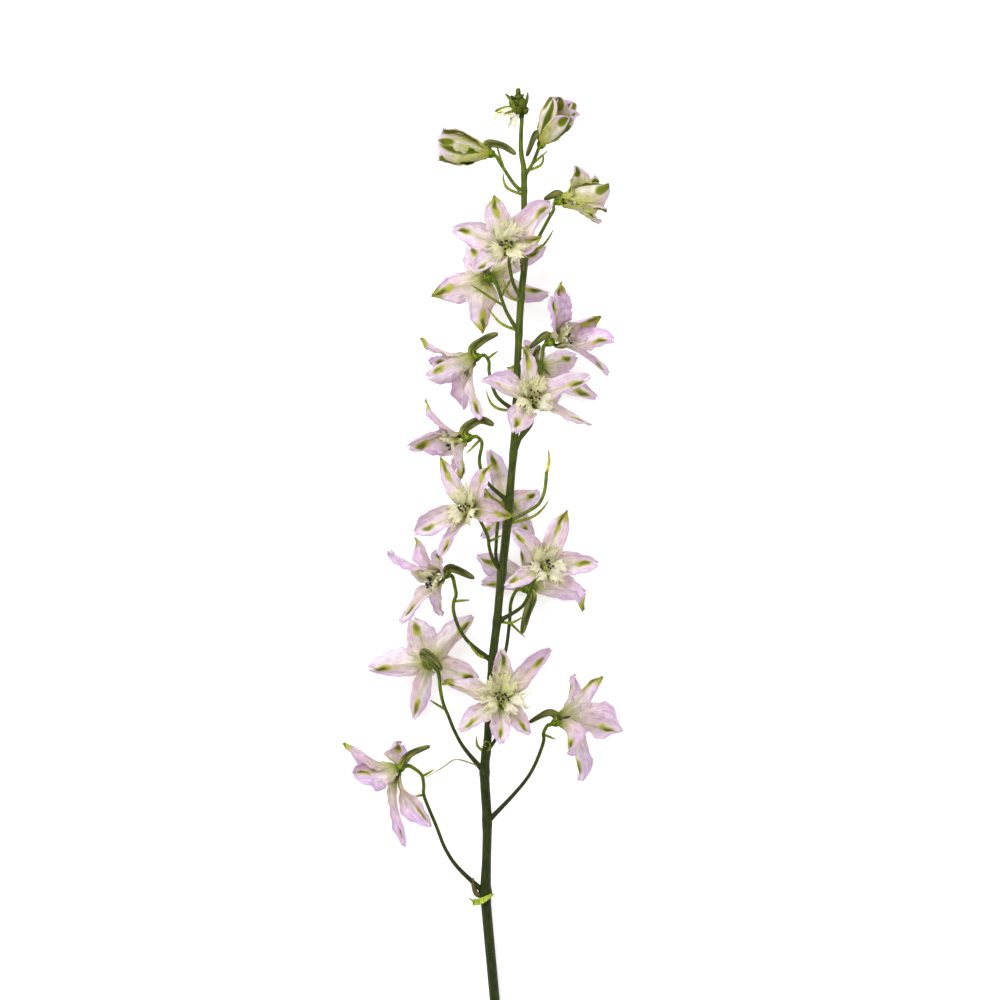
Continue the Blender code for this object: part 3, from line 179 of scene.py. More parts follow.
# Each bloom: heart is where its stalk ends, facing is the way that it looks, and each sepal is
# (tip x, tip y, lift, width, curl, roll). Lift is the share of the rest of its length that goes
# up or down; curl bends the tip back, roll turns the blade about its own length, in degrees.
# The bee is the size of the inner petals, 1 where they are full.
# Spur points are (x, y, height above the heart). Stalk points are (x, y), from heart to stem.
BLOOMS = [
    dict(name="bloom_01", heart=(-4.0, 138.4, 30.0), facing=(-1.0, 0.12, 0.25), bee=0.55,
         sepals=[(-22.0, 149.6, 0.65, 11, 0.0, 0), (-23.6, 143.0, 1.17, 11, 0.0, 0),
                 (-23.6, 134.8, 0.9, 11, 0.0, 0), (-22.4, 133.6, 0.04, 11, 0.0, 0),
                 (-22.0, 142.4, -0.27, 11, 0.0, 0)],
         spur=[(-5.2, 142.4, 0.5), (1.0, 141.6, 2.0), (6.4, 138.0, 2.6)], spur_radius=1.7,
         stalk=[(-0.4, 135.4), (5.2, 126.8), (8.3, 123.6)]),
    dict(name="bloom_02", heart=(16.6, 142.4, 29.0), facing=(0.45, 0.85, 0.25), bee=0.55,
         sepals=[(18.4, 160.0, 0.7, 11, 0.0, 0), (23.2, 161.2, -0.15, 11, 0.0, 0),
                 (30.8, 157.4, -0.3, 11, 0.0, 0), (32.6, 153.0, 0.3, 11, 0.0, 0),
                 (28.0, 150.6, 0.75, 11, 0.0, 0)],
         spur=[(15.6, 146.0, 1.5), (13.8, 145.2, 3.0), (10.6, 137.2, 3.6)], spur_radius=1.6,
         stalk=[(14.8, 139.2), (12.8, 134.1), (9.8, 129.6)]),
    dict(name="bloom_03", heart=(23.7, 119.6, 25.0), facing=(1.0, 0.1, 0.15), bee=0.75,
         sepals=[(30.2, 133.4, 0.2, 9.5, 0.3, 0), (43.6, 125.6, 0.7, 12.5, 0.1, 0),
                 (42.7, 115.6, 0.4, 9.5, -0.1, 0), (39.0, 128.0, -0.8, 11.5, 0.1, 0),
                 (38.6, 110.8, -0.8, 9.5, 0.1, 0)],
         spur=[(23.2, 122.6, 1.0), (17.6, 120.0, 2.0)], spur_radius=1.7,
         stalk=[(21.4, 116.0), (19.4, 112.4), (15.2, 104.8), (10.2, 98.8)]),
    dict(name="bloom_04", heart=(4.0, 98.8, 41.0), facing=(-0.15, 0.42, 0.9), bee=1.0,
         sepals=[(-2.9, 121.4, 0.1, 11.5, 0.2, 0), (19.6, 117.6, 0.1, 11.5, 0.2, 0),
                 (-17.9, 107.6, 0.1, 11, 0.2, 0), (-9.6, 92.0, 0.35, 9.5, 0.1, -20),
                 (15.8, 104.0, 0.5, 9.5, 0.1, 30)],
         spur=[(6.6, 98.2, -1.6), (8.6, 95.6, -3.0), (8.9, 91.2, -3.5)], spur_radius=1.2,
         stalk=[(3.6, 95.0), (4.6, 89.2), (6.0, 84.8), (8.3, 81.2)]),
    dict(name="bloom_05", heart=(-4.4, 89.3, 19.0), facing=(-0.35, -0.15, -0.9), bee=0.9,
         sepals=[(-27.2, 82.0, -0.3, 11.5, -0.1, 0), (-11.4, 102.0, -0.6, 11.5, 0.1, 0),
                 (-8.0, 67.2, -0.3, 13, 0.0, 0), (17.3, 101.6, -0.2, 9.5, 0.1, 0),
                 (18.6, 82.8, -0.3, 9.5, 0.1, 0)],
         spur=[(-5.6, 92.4, 2.2), (-1.0, 97.0, 4.6)], spur_radius=1.4,
         stalk=[(-1.4, 86.8), (0.4, 81.2), (2.8, 74.8), (7.4, 67.0)]),
    dict(name="bloom_06", heart=(19.9, 63.2, 26.0), facing=(0.9, 0.3, 0.2), bee=0.9,
         sepals=[(22.7, 86.8, -0.4, 9, 0.1, 0), (21.4, 80.4, 0.6, 12, 0.2, 0),
                 (39.6, 74.0, -0.8, 11, 0.1, 0), (44.4, 64.0, 0.5, 11, 0.3, 0),
                 (42.4, 51.0, -0.4, 11, 0.2, 0)],
         spur=[(18.4, 66.0, 1.5), (11.8, 60.6, 3.4)], spur_radius=1.6,
         stalk=[(17.2, 60.0), (16.2, 53.6), (12.4, 38.0), (8.8, 26.8), (5.4, 18.0)]),
    dict(name="bloom_07", heart=(11.0, 37.4, 40.0), facing=(0.3, 0.55, 0.78), bee=1.0,
         sepals=[(10.0, 61.2, 0.1, 10.5, 0.2, 0), (-6.4, 47.2, 0.3, 11, 0.2, 0),
                 (34.6, 49.0, 0.1, 11.5, 0.2, 0), (35.8, 30.4, 0.1, 8, 0.1, -20),
                 (6.0, 27.4, 0.6, 10.5, 0.3, 0)],
         spur=[(12.0, 40.2, -3.0), (13.0, 45.4, -6.0)], spur_radius=1.5,
         stalk=[(12.6, 35.0), (12.4, 30.0), (6.0, 22.4)]),
    dict(name="bloom_08", heart=(15.4, 54.0, 11.0), facing=(0.3, -0.3, -0.9), bee=0.8,
         sepals=[(29.8, 57.6, -0.1, 10.5, 0.1, 0), (38.0, 41.6, -3.0, 9.5, 0.1, 0),
                 (4.2, 52.6, -0.55, 9.5, 0.1, 0), (9.8, 63.4, -0.55, 9.5, 0.1, 0),
                 (21.4, 39.0, -0.75, 9.5, 0.1, 0)],
         spur=[(14.0, 57.4, 2.2), (16.0, 62.0, 4.0)], spur_radius=1.4,
         stalk=[(12.2, 50.0), (9.6, 42.0), (6.4, 34.0)]),
    dict(name="bloom_09", heart=(-9.7, 57.0, 26.0), facing=(-0.85, -0.4, 0.15), bee=0.9,
         sepals=[(-32.2, 63.3, 0.1, 11, 0.1, 0), (-28.4, 49.6, 0.8, 11, 0.1, 0),
                 (-7.7, 33.0, 2.2, 8, 0.1, 0), (-14.0, 38.0, -0.8, 11, 0.1, 0),
                 (-26.0, 54.0, -0.9, 12, 0.1, 0)],
         spur=[(-11.2, 60.4, 1.5), (-6.0, 64.4, 2.6), (-0.8, 66.5, 3.0)], spur_radius=1.8,
         stalk=[(-5.9, 57.7), (-4.4, 55.2), (-4.2, 50.4), (-1.2, 41.4), (6.2, 35.6)]),
    dict(name="bloom_10", heart=(-13.0, 24.8, 24.0), facing=(-0.9, -0.3, 0.15), bee=0.9,
         sepals=[(-30.9, 39.0, 0.2, 9, 0.1, 0), (-34.0, 18.4, 0.6, 12, 0.1, 0),
                 (-14.6, 9.4, 0.5, 9, 0.1, 0), (-16.8, 12.4, -0.9, 10.5, 0.1, 0),
                 (-30.0, 24.0, -0.8, 11.5, 0.1, 0)],
         spur=[(-14.4, 28.2, 1.4), (-8.0, 32.0, 3.0), (-2.4, 30.0, 3.4)], spur_radius=1.9,
         stalk=[(-9.0, 25.2), (-7.2, 22.6), (-8.2, 15.0), (-5.2, 7.2), (3.6, -0.8)]),
    dict(name="bloom_11", heart=(-10.2, -5.4, 38.0), facing=(-0.5, 0.35, 0.78), bee=1.0,
         sepals=[(-24.0, 16.9, 0.1, 8.5, 0.1, 0), (-4.0, 14.8, 0.5, 9.5, 0.2, 0),
                 (4.4, -6.4, 0.45, 11, 0.2, 0), (-23.6, -21.6, 0.1, 9.5, 0.2, 0),
                 (-33.2, -12.8, 0.1, 9.5, 0.2, 0)],
         spur=[(-8.4, -3.0, -1.8), (-2.4, -2.6, -3.0)], spur_radius=1.6,
         stalk=[(-7.6, -8.8), (-4.9, -14.6), (-4.3, -18.8), (-2.8, -23.8), (0.6, -28.6)]),
    dict(name="bloom_12", heart=(3.2, -3.2, 11.0), facing=(0.05, 0.15, -1.0), bee=0.8,
         sepals=[(-4.4, 19.2, -3.0, 9.5, 0.1, 0), (14.8, 3.6, -0.65, 9.5, 0.1, 0),
                 (-9.0, 2.0, -0.65, 9.5, 0.1, 0), (13.0, -14.0, -0.65, 8, 0.1, 0),
                 (-7.0, -14.4, -0.65, 8, 0.1, 0)],
         spur=[(2.0, -0.4, 3.0), (4.6, 3.0, 7.0)], spur_radius=1.4,
         stalk=[(-0.6, -8.0), (-1.6, -19.2), (-1.4, -24.0), (0.6, -30.6)]),
    dict(name="bloom_13", heart=(15.2, -28.6, 37.5), facing=(0.42, 0.4, 0.8), bee=1.0,
         sepals=[(26.0, -4.2, 0.1, 8.5, 0.2, 0), (5.6, -12.0, 0.4, 9.5, 0.1, 0),
                 (2.8, -34.2, 0.4, 8, 0.3, 0), (34.4, -43.2, 0.1, 9.5, 0.2, 0),
                 (38.2, -25.6, 0.1, 9.5, 0.2, 0)],
         spur=[(13.2, -26.6, -2.0), (6.7, -30.0, -2.6)], spur_radius=1.9,
         stalk=[(13.4, -33.0), (10.6, -39.9), (7.6, -43.6), (-0.4, -48.4)]),
    dict(name="bloom_14", heart=(11.6, -36.0, 12.0), facing=(0.2, 0.4, -0.85), bee=0.8,
         sepals=[(33.6, -37.2, -2.0, 9.5, 0.1, 0), (27.0, -22.0, -1.2, 9.5, 0.1, 0),
                 (-8.6, -23.0, -3.0, 9.5, 0.1, 0), (-6.6, -33.5, -0.9, 9.5, 0.1, 0),
                 (9.0, -19.0, -0.8, 9.5, 0.1, 0)],
         spur=[(13.0, -39.0, 2.4), (10.6, -46.0, 2.4), (8.8, -53.6, 1.4)], spur_radius=2.0,
         stalk=[(7.0, -35.8), (4.4, -41.0), (3.8, -49.0), (1.8, -62.0), (-3.4, -71.4)]),
    dict(name="bloom_15", heart=(-21.7, -29.8, 22.0), facing=(-0.85, -0.3, 0.35), bee=0.95,
         sepals=[(-33.0, -15.1, -0.3, 9, 0.1, 0), (-44.0, -21.2, 0.1, 12, 0.1, 0),
                 (-39.2, -48.4, 0.1, 9, 0.1, 0), (-23.6, -45.6, -0.4, 8, 0.1, 0),
                 (-24.6, -20.5, 0.5, 10.5, 0.1, 0)],
         spur=[(-19.4, -27.2, 1.6), (-10.2, -31.4, 2.6)], spur_radius=1.9,
         stalk=[(-18.2, -34.0), (-17.6, -38.0), (-18.6, -41.2), (-18.4, -45.4), (-16.1, -51.8),
                (-11.8, -57.6), (-3.2, -64.4)]),
    dict(name="bloom_16", heart=(0.2, -81.6, 34.0), facing=(0.08, 0.4, 0.9), bee=1.15,
         sepals=[(-22.2, -73.2, 0.2, 8.5, 0.2, 0), (19.6, -60.0, 0.1, 8.5, 0.2, 0),
                 (0.4, -60.3, 0.5, 10.5, 0.1, 0), (-15.6, -91.6, 0.3, 8.5, 0.2, 0),
                 (0.6, -96.6, 0.4, 8, 0.1, 0), (11.4, -92.6, 0.4, 8, 0.2, 0)],
         spur=[(0.4, -78.6, -3.0), (1.0, -73.6, -5.5)], spur_radius=1.5,
         stalk=[(-0.8, -86.0), (-1.4, -94.8), (-5.8, -101.2)]),
    dict(name="bloom_17", heart=(-27.7, -65.4, 16.0), facing=(-0.2, 0.1, -0.95), bee=0.9,
         sepals=[(-34.8, -48.6, -0.9, 13, 0.1, 0), (-51.8, -67.6, -3.0, 11.5, 0.0, 0),
                 (-11.6, -47.2, -1.0, 9.5, 0.1, 0), (-9.6, -71.6, -0.8, 10.5, 0.1, 0),
                 (-34.4, -87.2, -3.0, 8, 0.1, 0)],
         spur=[(-30.4, -61.6, 2.6), (-27.6, -63.0, 7.0), (-23.4, -68.0, 9.0)], spur_radius=2.2,
         stalk=[(-24.6, -69.4), (-24.0, -75.2), (-22.8, -81.2), (-20.4, -87.2), (-18.1, -92.8),
                (-14.2, -99.6), (-6.4, -108.8)]),
    dict(name="bloom_18", heart=(22.6, -89.0, 17.0), facing=(0.8, 0.3, -0.4), bee=0.9,
         sepals=[(39.7, -69.8, 0.1, 10, 0.1, 0), (29.2, -71.2, -1.4, 11, 0.1, 0),
                 (47.6, -92.4, -0.6, 13, 0.1, 0), (32.7, -111.8, -2.5, 9.5, 0.1, 0),
                 (27.0, -100.0, 0.6, 9.5, 0.5, 0)],
         spur=[(22.0, -85.8, 1.6), (18.6, -85.4, 2.8), (11.6, -89.2, 3.6)], spur_radius=1.6,
         stalk=[(18.8, -90.6), (17.4, -93.6), (17.4, -97.0), (14.4, -105.2), (10.8, -111.6),
                (4.8, -118.8), (-5.0, -129.0)]),
    dict(name="bloom_19", heart=(-40.0, -107.4, 15.0), facing=(-0.8, -0.5, 0.1), bee=0.95,
         sepals=[(-62.2, -96.6, 0.1, 11, 0.1, 0), (-57.6, -109.6, 0.8, 11, 0.1, 0),
                 (-39.4, -98.6, -0.5, 11, 0.3, 0), (-28.4, -130.2, 0.1, 8, 0.1, 0),
                 (-38.2, -138.0, -2.5, 9, 0.1, 0), (-56.0, -104.0, -1.1, 11, 0.1, 0)],
         spur=[(-38.2, -104.0, 1.8), (-34.8, -101.2, 3.0), (-28.0, -98.6, 3.0)],
         spur_radius=1.7,
         stalk=[(-35.4, -107.0), (-31.6, -110.0), (-30.6, -114.0), (-30.6, -118.0),
                (-29.0, -122.6), (-25.4, -131.2), (-22.0, -139.8), (-16.8, -147.6),
                (-6.2, -157.6)]),
]

# Bracts: points (x, y, height above the stem's own height there)
WITHERED_BRACT = [(-6.6, -107.6, 0.0), (-16.9, -103.9, 1.0), (-22.8, -107.0, 2.0),
                  (-29.6, -111.0, 2.0)]
BRACTS = [
    [(8.8, 122.0, 0.2), (3.5, 124.2, 1.2), (1.6, 127.0, 2.0), (1.2, 130.8, 3.0)],
    [(9.8, 131.2, 0.0), (16.4, 134.0, -2.0), (17.4, 138.6, -4.0)],
    [(10.2, 98.6, 0.0), (17.0, 101.6, 0.5), (21.4, 108.0, 0.0)],
    [(8.4, 80.2, 0.4), (5.1, 80.4, 3.6), (2.6, 83.6, 5.6), (1.4, 88.0, 6.4)],
    [(7.4, 67.6, 0.0), (0.4, 70.6, 1.0), (-5.0, 76.8, 2.0)],
    [(6.2, 35.6, 0.0), (-0.4, 36.4, 0.0), (-3.8, 39.0, 0.4), (-5.4, 43.6, 0.6)],
    [(3.2, -2.4, 0.0), (-3.2, 1.0, 0.0), (-7.6, 7.0, -0.6)],
    [(0.4, -48.8, 0.0), (5.0, -49.0, 1.6), (9.6, -46.4, 3.0)],
    [(-3.6, -64.0, 0.0), (-8.9, -61.8, 0.6), (-12.8, -56.8, 1.6)],
    [(-5.6, -101.4, 0.0), (-9.0, -98.4, 2.4), (-9.4, -94.6, 4.0)],
    WITHERED_BRACT,
    [(2.8, -9.6, 0.0), (12.4, -7.0, 0.8), (17.0, -3.6, 1.6), (19.4, -0.2, 2.2)],
    [(-5.8, -158.0, 0.0), (-9.0, -161.6, 1.2), (-12.6, -159.6, 1.8)],
]
BOAT_BRACT = [(-11.0, -161.6, 1.4), (-7.4, -160.8, 2.8), (-2.4, -158.0, 2.7)]
COILED_BRACT = [(-6.0, -101.0, 0.6), (-4.2, -99.6, 2.4), (-4.0, -97.4, 3.2), (-5.8, -96.6, 3.5),
                (-6.6, -98.0, 3.6), (-5.4, -98.8, 3.7)]
# Bracteoles: bloom, share of its stalk's length from the stem, and the leaf's tip as
# (x, y, height above the leaf's foot)
BRACTEOLES = [
    ("bloom_01", 0.55, (-1.6, 142.6, -2.6)),
    ("bloom_02", 0.5, (19.0, 139.6, -2.0)),
    ("bloom_03", 0.6, (17.0, 119.2, -4.0)),
    ("bloom_05", 0.35, (-11.6, 86.0, 4.5)),
    ("bloom_05", 0.5, (5.0, 89.6, 1.0)),
    ("bloom_09", 0.7, (-0.8, 59.6, -1.5)),
    ("bloom_10", 0.7, (-13.4, 18.6, 3.0)),
    ("bloom_11", 0.5, (0.6, -14.2, -2.0)),
    ("bloom_14", 0.4, (10.0, -55.0, 4.0)),
    ("bloom_15", 0.6, (-12.0, -40.0, -2.0)),
    ("bloom_17", 0.75, (-17.4, -73.4, 3.0)),
    ("bloom_17", 0.5, (-28.2, -80.0, 4.0)),
    ("bloom_18", 0.7, (22.2, -95.8, 2.0)),
    ("bloom_19", 0.75, (-26.4, -108.0, 3.0)),
    ("bloom_19", 0.55, (-34.8, -119.0, -1.0)),
]

# A stalk that has lost its flower, on the right of the spike, and the dry stub at the lowest node
BARE_STALK = [(2.8, -9.0, 27.0), (11.0, -4.6, 27.0), (15.4, -1.6, 26.6), (17.6, 2.8, 26.0),
              (18.4, 7.8, 25.6), (18.6, 11.3, 25.4)]
BARE_STALK_LEAF = [(18.5, 10.2, 25.5), (19.6, 15.2, 26.0), (19.4, 20.0, 26.4)]
DRY_STUB = [(-5.8, -158.6, 9.0), (-9.6, -158.0, 9.2), (-11.2, -151.8, 9.6)]

# The tip: round buds (x, y, z, radius) on a short core, with thin bracts standing among them
TIP_CORE = [(8.7, 152.6, 30.4, 0.8), (8.0, 156.6, 30.3, 1.5), (7.4, 160.0, 30.2, 1.3),
            (7.2, 162.4, 30.2, 0.7)]
TIP_BUDS = [(7.2, 163.2, 30.4, 1.1), (5.2, 158.2, 31.4, 1.6), (9.0, 158.2, 31.2, 1.6),
            (10.2, 155.6, 30.0, 1.3), (7.0, 155.6, 32.0, 1.4), (6.6, 159.4, 28.8, 1.5)]
TIP_BRACTS = [[(7.4, 152.8, 31.6), (5.6, 156.6, 32.6), (3.4, 161.6, 32.6)],
              [(9.0, 156.2, 31.0), (10.6, 159.4, 31.4), (11.2, 163.0, 31.6)],
              [(5.6, 158.0, 30.0), (3.8, 160.6, 30.2), (2.0, 162.4, 30.4)],
              [(6.2, 154.6, 31.6), (4.6, 151.4, 32.4), (3.2, 148.6, 32.6)],
              [(7.0, 154.4, 32.0), (6.0, 151.2, 32.8), (5.6, 148.4, 33.0)]]
STANDING_BRACTS = 3  # of TIP_BRACTS; the others hang
TIP_OPENING_BUD = [(6.6, 155.4, 30.6, 1.5), (3.2, 154.4, 31.0, 2.1), (-0.6, 153.4, 31.2, 1.9),
                   (-2.6, 152.9, 31.2, 0.9)]


def vec(*numbers):
    return np.array(numbers, dtype=float)


def unit(v):
    return v / max(float(np.linalg.norm(v)), TINY)


def units(vectors):
    """An array of vectors, each made one long."""
    return vectors / np.maximum(np.linalg.norm(vectors, axis=-1, keepdims=True), TINY)


def mix(a, b, share):
    return a + (b - a) * share


def blend(colour, other, share):
    """Colours on a grid: colour, with other laid over it by its share at each point."""
    return mix(colour, other, share[..., None])


def ease(share):
    """A smooth step from 0 to 1 while share goes from 0 to 1."""
    share = np.clip(share, 0.0, 1.0)
    return share * share * (3.0 - 2.0 * share)


def hump(x, middle, reach):
    """One at middle, falling off smoothly over reach on both sides."""
    return np.exp(-((x - middle) / reach) ** 2)


def around(one, other, turn):
    """The way that is turned from one towards other."""
    return one * math.cos(turn) + other * math.sin(turn)


def shares(rows, cols):
    """Two grids for a petal: the share of its length, and the place across it from -1 to 1."""
    return np.meshgrid(np.linspace(0.0, 1.0, rows), np.linspace(-1.0, 1.0, cols), indexing="ij")


def facing_of(bloom):
    return unit(vec(*bloom["facing"]))


def stem_height(y):
    """Height of the stem's middle at y."""
    return float(np.interp(y, [p[1] for p in STEM], [p[2] for p in STEM]))


def over_stem(points):
    """Points whose heights are given above the stem's own."""
    return [(x, y, stem_height(y) + rise) for x, y, rise in points]


def curve_through(points, steps):
    """Points on a smooth curve through points, as an array."""
    pts = np.array(points, dtype=float)
    last = len(pts) - 1
    found = []
    for i in range(last):
        a, b = pts[max(i - 1, 0)], pts[i]
        c, d = pts[i + 1], pts[min(i + 2, last)]
        for k in range(steps):
            t = k / steps
            found.append(0.5 * (2 * b + (c - a) * t + (2 * a - 5 * b + 4 * c - d) * t * t
                                + (3 * b - a - 3 * c + d) * t ** 3))
    found.append(pts[last])
    return np.array(found)


def path_and_radii(points, steps):
    """A smooth path through (x, y, z, radius) points, and the radius at each point of it."""
    path = curve_through([p[:3] for p in points], steps)
    last = len(points) - 1
    radii = np.interp(np.linspace(0, last, len(path)), range(last + 1), [p[3] for p in points])
    return path, radii


class Build:
    """Collects points, faces, colours and material numbers for one mesh."""

    def __init__(self):
        self.points, self.faces, self.marks, self.tints, self.places = [], [], [], [], []

    def add(self, points, faces, tints, mark=0, places=None):
        start = sum(len(p) for p in self.points)
        points = np.asarray(points, dtype=float).reshape(-1, 3)
        points[:, 2] = np.clip(points[:, 2], 0.0, CEILING)
        self.points.append(points)
        tints = np.asarray(tints, dtype=float)
        if tints.ndim == 1:
            tints = np.tile(tints, (len(points), 1))
        self.tints.append(tints.reshape(-1, 3))
        self.places.append(np.zeros((len(points), 2)) if places is None else places.reshape(-1, 2))
        self.faces += [tuple(i + start for i in face) for face in faces]
        self.marks += [mark] * len(faces)

    def piece(self, name, materials, nodes):
        """Makes the object, which rides on the body and stands for the given solids."""
        mesh = bpy.data.meshes.new(name)
        points = (np.vstack(self.points) + SHIFT) * MM
        mesh.from_pydata(points.tolist(), [], self.faces)
        for material in materials:
            mesh.materials.append(material)
        mesh.polygons.foreach_set("material_index", self.marks)
        mesh.shade_smooth()
        tints = np.vstack(self.tints)
        layer = mesh.color_attributes.new("tint", "FLOAT_COLOR", "POINT")
        layer.data.foreach_set("color", np.hstack([tints, np.ones((len(tints), 1))]).ravel())
        corners = np.empty(len(mesh.loops), dtype=np.int32)
        mesh.loops.foreach_get("vertex_index", corners)
        places = np.vstack(self.places)[corners]
        mesh.uv_layers.new(name="petal").data.foreach_set("uv", places.ravel())
        mesh.update()
        thing = bpy.data.objects.new(name, mesh)
        bpy.context.scene.collection.objects.link(thing)
        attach(thing, "root")
        if nodes:
            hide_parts(*nodes)


def laid_out(line, spread, across, height, face):
    """A grid of points about a line: spread goes sideways along across, height along face."""
    return (line[:, None, :] + spread[..., None] * across[:, None, :]
            + height[..., None] * face[:, None, :])


def sheet_solid(build, grid, thick, tints, t, v):
    """A thin closed leaf from a grid of middle points; t and v are its places along and across."""
    rows, cols = grid.shape[:2]
    normal = units(np.cross(np.gradient(grid, axis=1), np.gradient(grid, axis=0)))
    offset = normal * (np.broadcast_to(thick, (rows, cols))[..., None] * 0.5)
    top = (grid + offset).reshape(-1, 3)
    low = (grid - offset).reshape(-1, 3)
    count = rows * cols
    faces = []
    for i in range(rows - 1):
        for k in range(cols - 1):
            a = i * cols + k
            b = a + cols
            faces.append((a, a + 1, b + 1, b))
            faces.append((a + count, b + count, b + 1 + count, a + 1 + count))
    rim = list(range(cols))
    rim += [i * cols + cols - 1 for i in range(1, rows)]
    rim += [(rows - 1) * cols + k for k in range(cols - 2, -1, -1)]
    rim += [i * cols for i in range(rows - 2, 0, -1)]
    for a, b in zip(rim, rim[1:] + rim[:1]):
        faces.append((b, a, a + count, b + count))
    places = np.stack([v * 0.5 + 0.5, t], axis=-1).reshape(-1, 2)
    build.add(np.vstack([top, low]), faces, np.vstack([tints.reshape(-1, 3)] * 2), 0,
              np.vstack([places] * 2))


def tube(build, path, radii, sides, tints, mark=0, shape=None):
    """A closed round body along path. shape gives a factor on the radius at (share, turns)."""
    path = np.asarray(path, dtype=float)
    radii = np.broadcast_to(np.asarray(radii, dtype=float), (len(path),))
    ahead = units(np.gradient(path, axis=0))
    side = np.cross(ahead[0], vec(0, 0, 1))
    if np.linalg.norm(side) < 0.2:
        side = np.cross(ahead[0], vec(1, 0, 0))
    turns = 2.0 * np.pi * np.arange(sides) / sides
    last = len(path) - 1
    points, places = [], []
    for i, way in enumerate(ahead):
        side = unit(side - way * side.dot(way))
        up = np.cross(way, side)
        factor = np.ones(sides) if shape is None else shape(i / last, turns)
        ring = np.outer(np.cos(turns) * factor, side) + np.outer(np.sin(turns) * factor, up)
        points.append(path[i] + ring * radii[i])
        places.append(np.column_stack([turns / (2 * np.pi), np.full(sides, i / last)]))
    faces = []
    for i in range(last):
        for k in range(sides):
            a, b = i * sides + k, i * sides + (k + 1) % sides
            faces.append((a, b, b + sides, a + sides))
    faces.append(tuple(range(sides))[::-1])
    faces.append(tuple(range(last * sides, (last + 1) * sides)))
    tints = np.asarray(tints, dtype=float)
    if tints.ndim == 2:
        tints = np.repeat(tints, sides, axis=0)
    build.add(np.vstack(points), faces, tints, mark, np.vstack(places))


def bead(build, middle, way, length, radius, tints, sides=8, rings=6, mark=0, flat=1.0):
    """A closed egg-like body; flat squeezes it one way."""
    share = np.linspace(0.0, 1.0, rings + 1)
    path = middle + np.outer(share - 0.5, unit(way)) * length
    radii = radius * np.sqrt(np.clip(1.0 - (2.0 * share - 1.0) ** 2, 0.02, 1.0))

    def squeezed(share, turns):
        return np.sqrt(np.cos(turns) ** 2 + (flat * np.sin(turns)) ** 2)

    tube(build, path, radii, sides, tints, mark, None if flat == 1.0 else squeezed)


def spike(build, root, tip, radius, tint, bend=0.0):
    """A hair: a slender three-sided cone whose middle is moved by bend."""
    way = unit(tip - root)
    side = unit(np.cross(way, vec(0.31, 0.52, 0.79)))
    up = np.cross(way, side)
    points = []
    for place, wide in ((root, radius), ((root + tip) * 0.5 + bend, radius * 0.75)):
        points += [place + around(side, up, 2.0 * math.pi * k / 3) * wide for k in range(3)]
    points.append(tip)
    faces = [(2, 1, 0)]
    for k in range(3):
        j = (k + 1) % 3
        faces += [(k, j, j + 3, k + 3), (k + 3, j + 3, 6)]
    build.add(points, faces, tint)


def sepal_half_width(share, form):
    """Share of a sepal's half width along it: a claw, a broad body, then a blunt or sharp end."""
    foot, full, lag, power, least = SEPAL_FORMS[form]
    claw = foot + (1.0 - foot) * ease(share / full)
    body = np.clip(np.sin(np.pi * np.clip(share, 0.0, 1.0) ** lag), 0.0, 1.0) ** power
    return np.maximum(np.minimum(claw, body), least)


def shown_turn(side, normal):
    """How far a blade is turned about its length so that it isn't seen edge-on from above."""
    across, upright = side[2], normal[2]
    if math.hypot(across, upright) < 0.3:
        return 0.0
    lean = math.atan2(across, upright)
    most = math.acos(SEPAL_SHOWN)
    for level in (-math.pi, 0.0, math.pi):
        if abs(lean - level) <= math.pi / 2.0:
            return min(max(lean, level - most), level + most) - lean
    return 0.0


def flare(bloom):
    """How far the inner petals spread: least in a bud, most where the bloom looks upwards."""
    if bloom["bee"] < BUD:
        return 0.3
    return 1.0 if facing_of(bloom)[2] > LOOKS_UP else 0.62


def clear_of_axis(points, bloom):
    """points, moved outwards where they would stand in the inner petals' way."""
    heart = vec(*bloom["heart"])
    facing = facing_of(bloom)
    for i in range(1, len(points)):
        rise = float(np.dot(points[i] - heart, facing))
        if rise <= 0.0:
            continue
        across = points[i] - heart - facing * rise
        gone = float(np.linalg.norm(across))
        need = 2.6
        if bloom["bee"] > BUD:
            need = 2.3 + min(rise, 9.0) * 0.67 * flare(bloom) * bloom["bee"]
        need *= ease(rise / 1.6)
        if 1e-6 < gone < need:
            points[i] = points[i] + across / gone * (need - gone)
    return points


def sepal_middle(bloom, sepal):
    """Middle line of a sepal from inside the heart to its tip, the way across it and its turn."""
    heart = vec(*bloom["heart"])
    facing = facing_of(bloom)
    tip_x, tip_y, lift, width, curl, roll = sepal
    flat = math.hypot(tip_x - heart[0], tip_y - heart[1])
    rise = lift * math.sqrt(max(SEPAL_REACH ** 2 - flat ** 2, 9.0))
    tip = vec(tip_x, tip_y, max(heart[2] + rise, 0.2))
    chord = tip - heart
    reach = float(np.linalg.norm(chord))
    radial = unit(chord - facing * chord.dot(facing))
    side = unit(np.cross(facing, radial))
    out = unit(chord)
    bow = out * 0.75 + (radial * 0.5 if bloom["bee"] < BUD else facing * 0.65)
    near = heart + unit(bow) * reach * 0.36
    far = tip - unit(out - facing * curl) * reach * 0.34
    root = heart + radial * ROOT_OUT
    t = np.linspace(0.0, 1.0, SEPAL_ROWS)[:, None]
    s = 1.0 - t
    line = root * s ** 3 + near * 3 * s * s * t + far * 3 * s * t * t + tip * t ** 3
    turn = math.radians(roll) + shown_turn(side, np.cross(out, side))
    return clear_of_axis(line, bloom), side, turn


def spot(t, v, place, skew, reach, wide, soft):
    """A clear-edged oval mark at place along a petal and skew across it."""
    gone = np.sqrt(((t - place) / reach) ** 2 + ((v - skew) / wide) ** 2)
    return ease((1.0 - gone) / soft + 0.5)


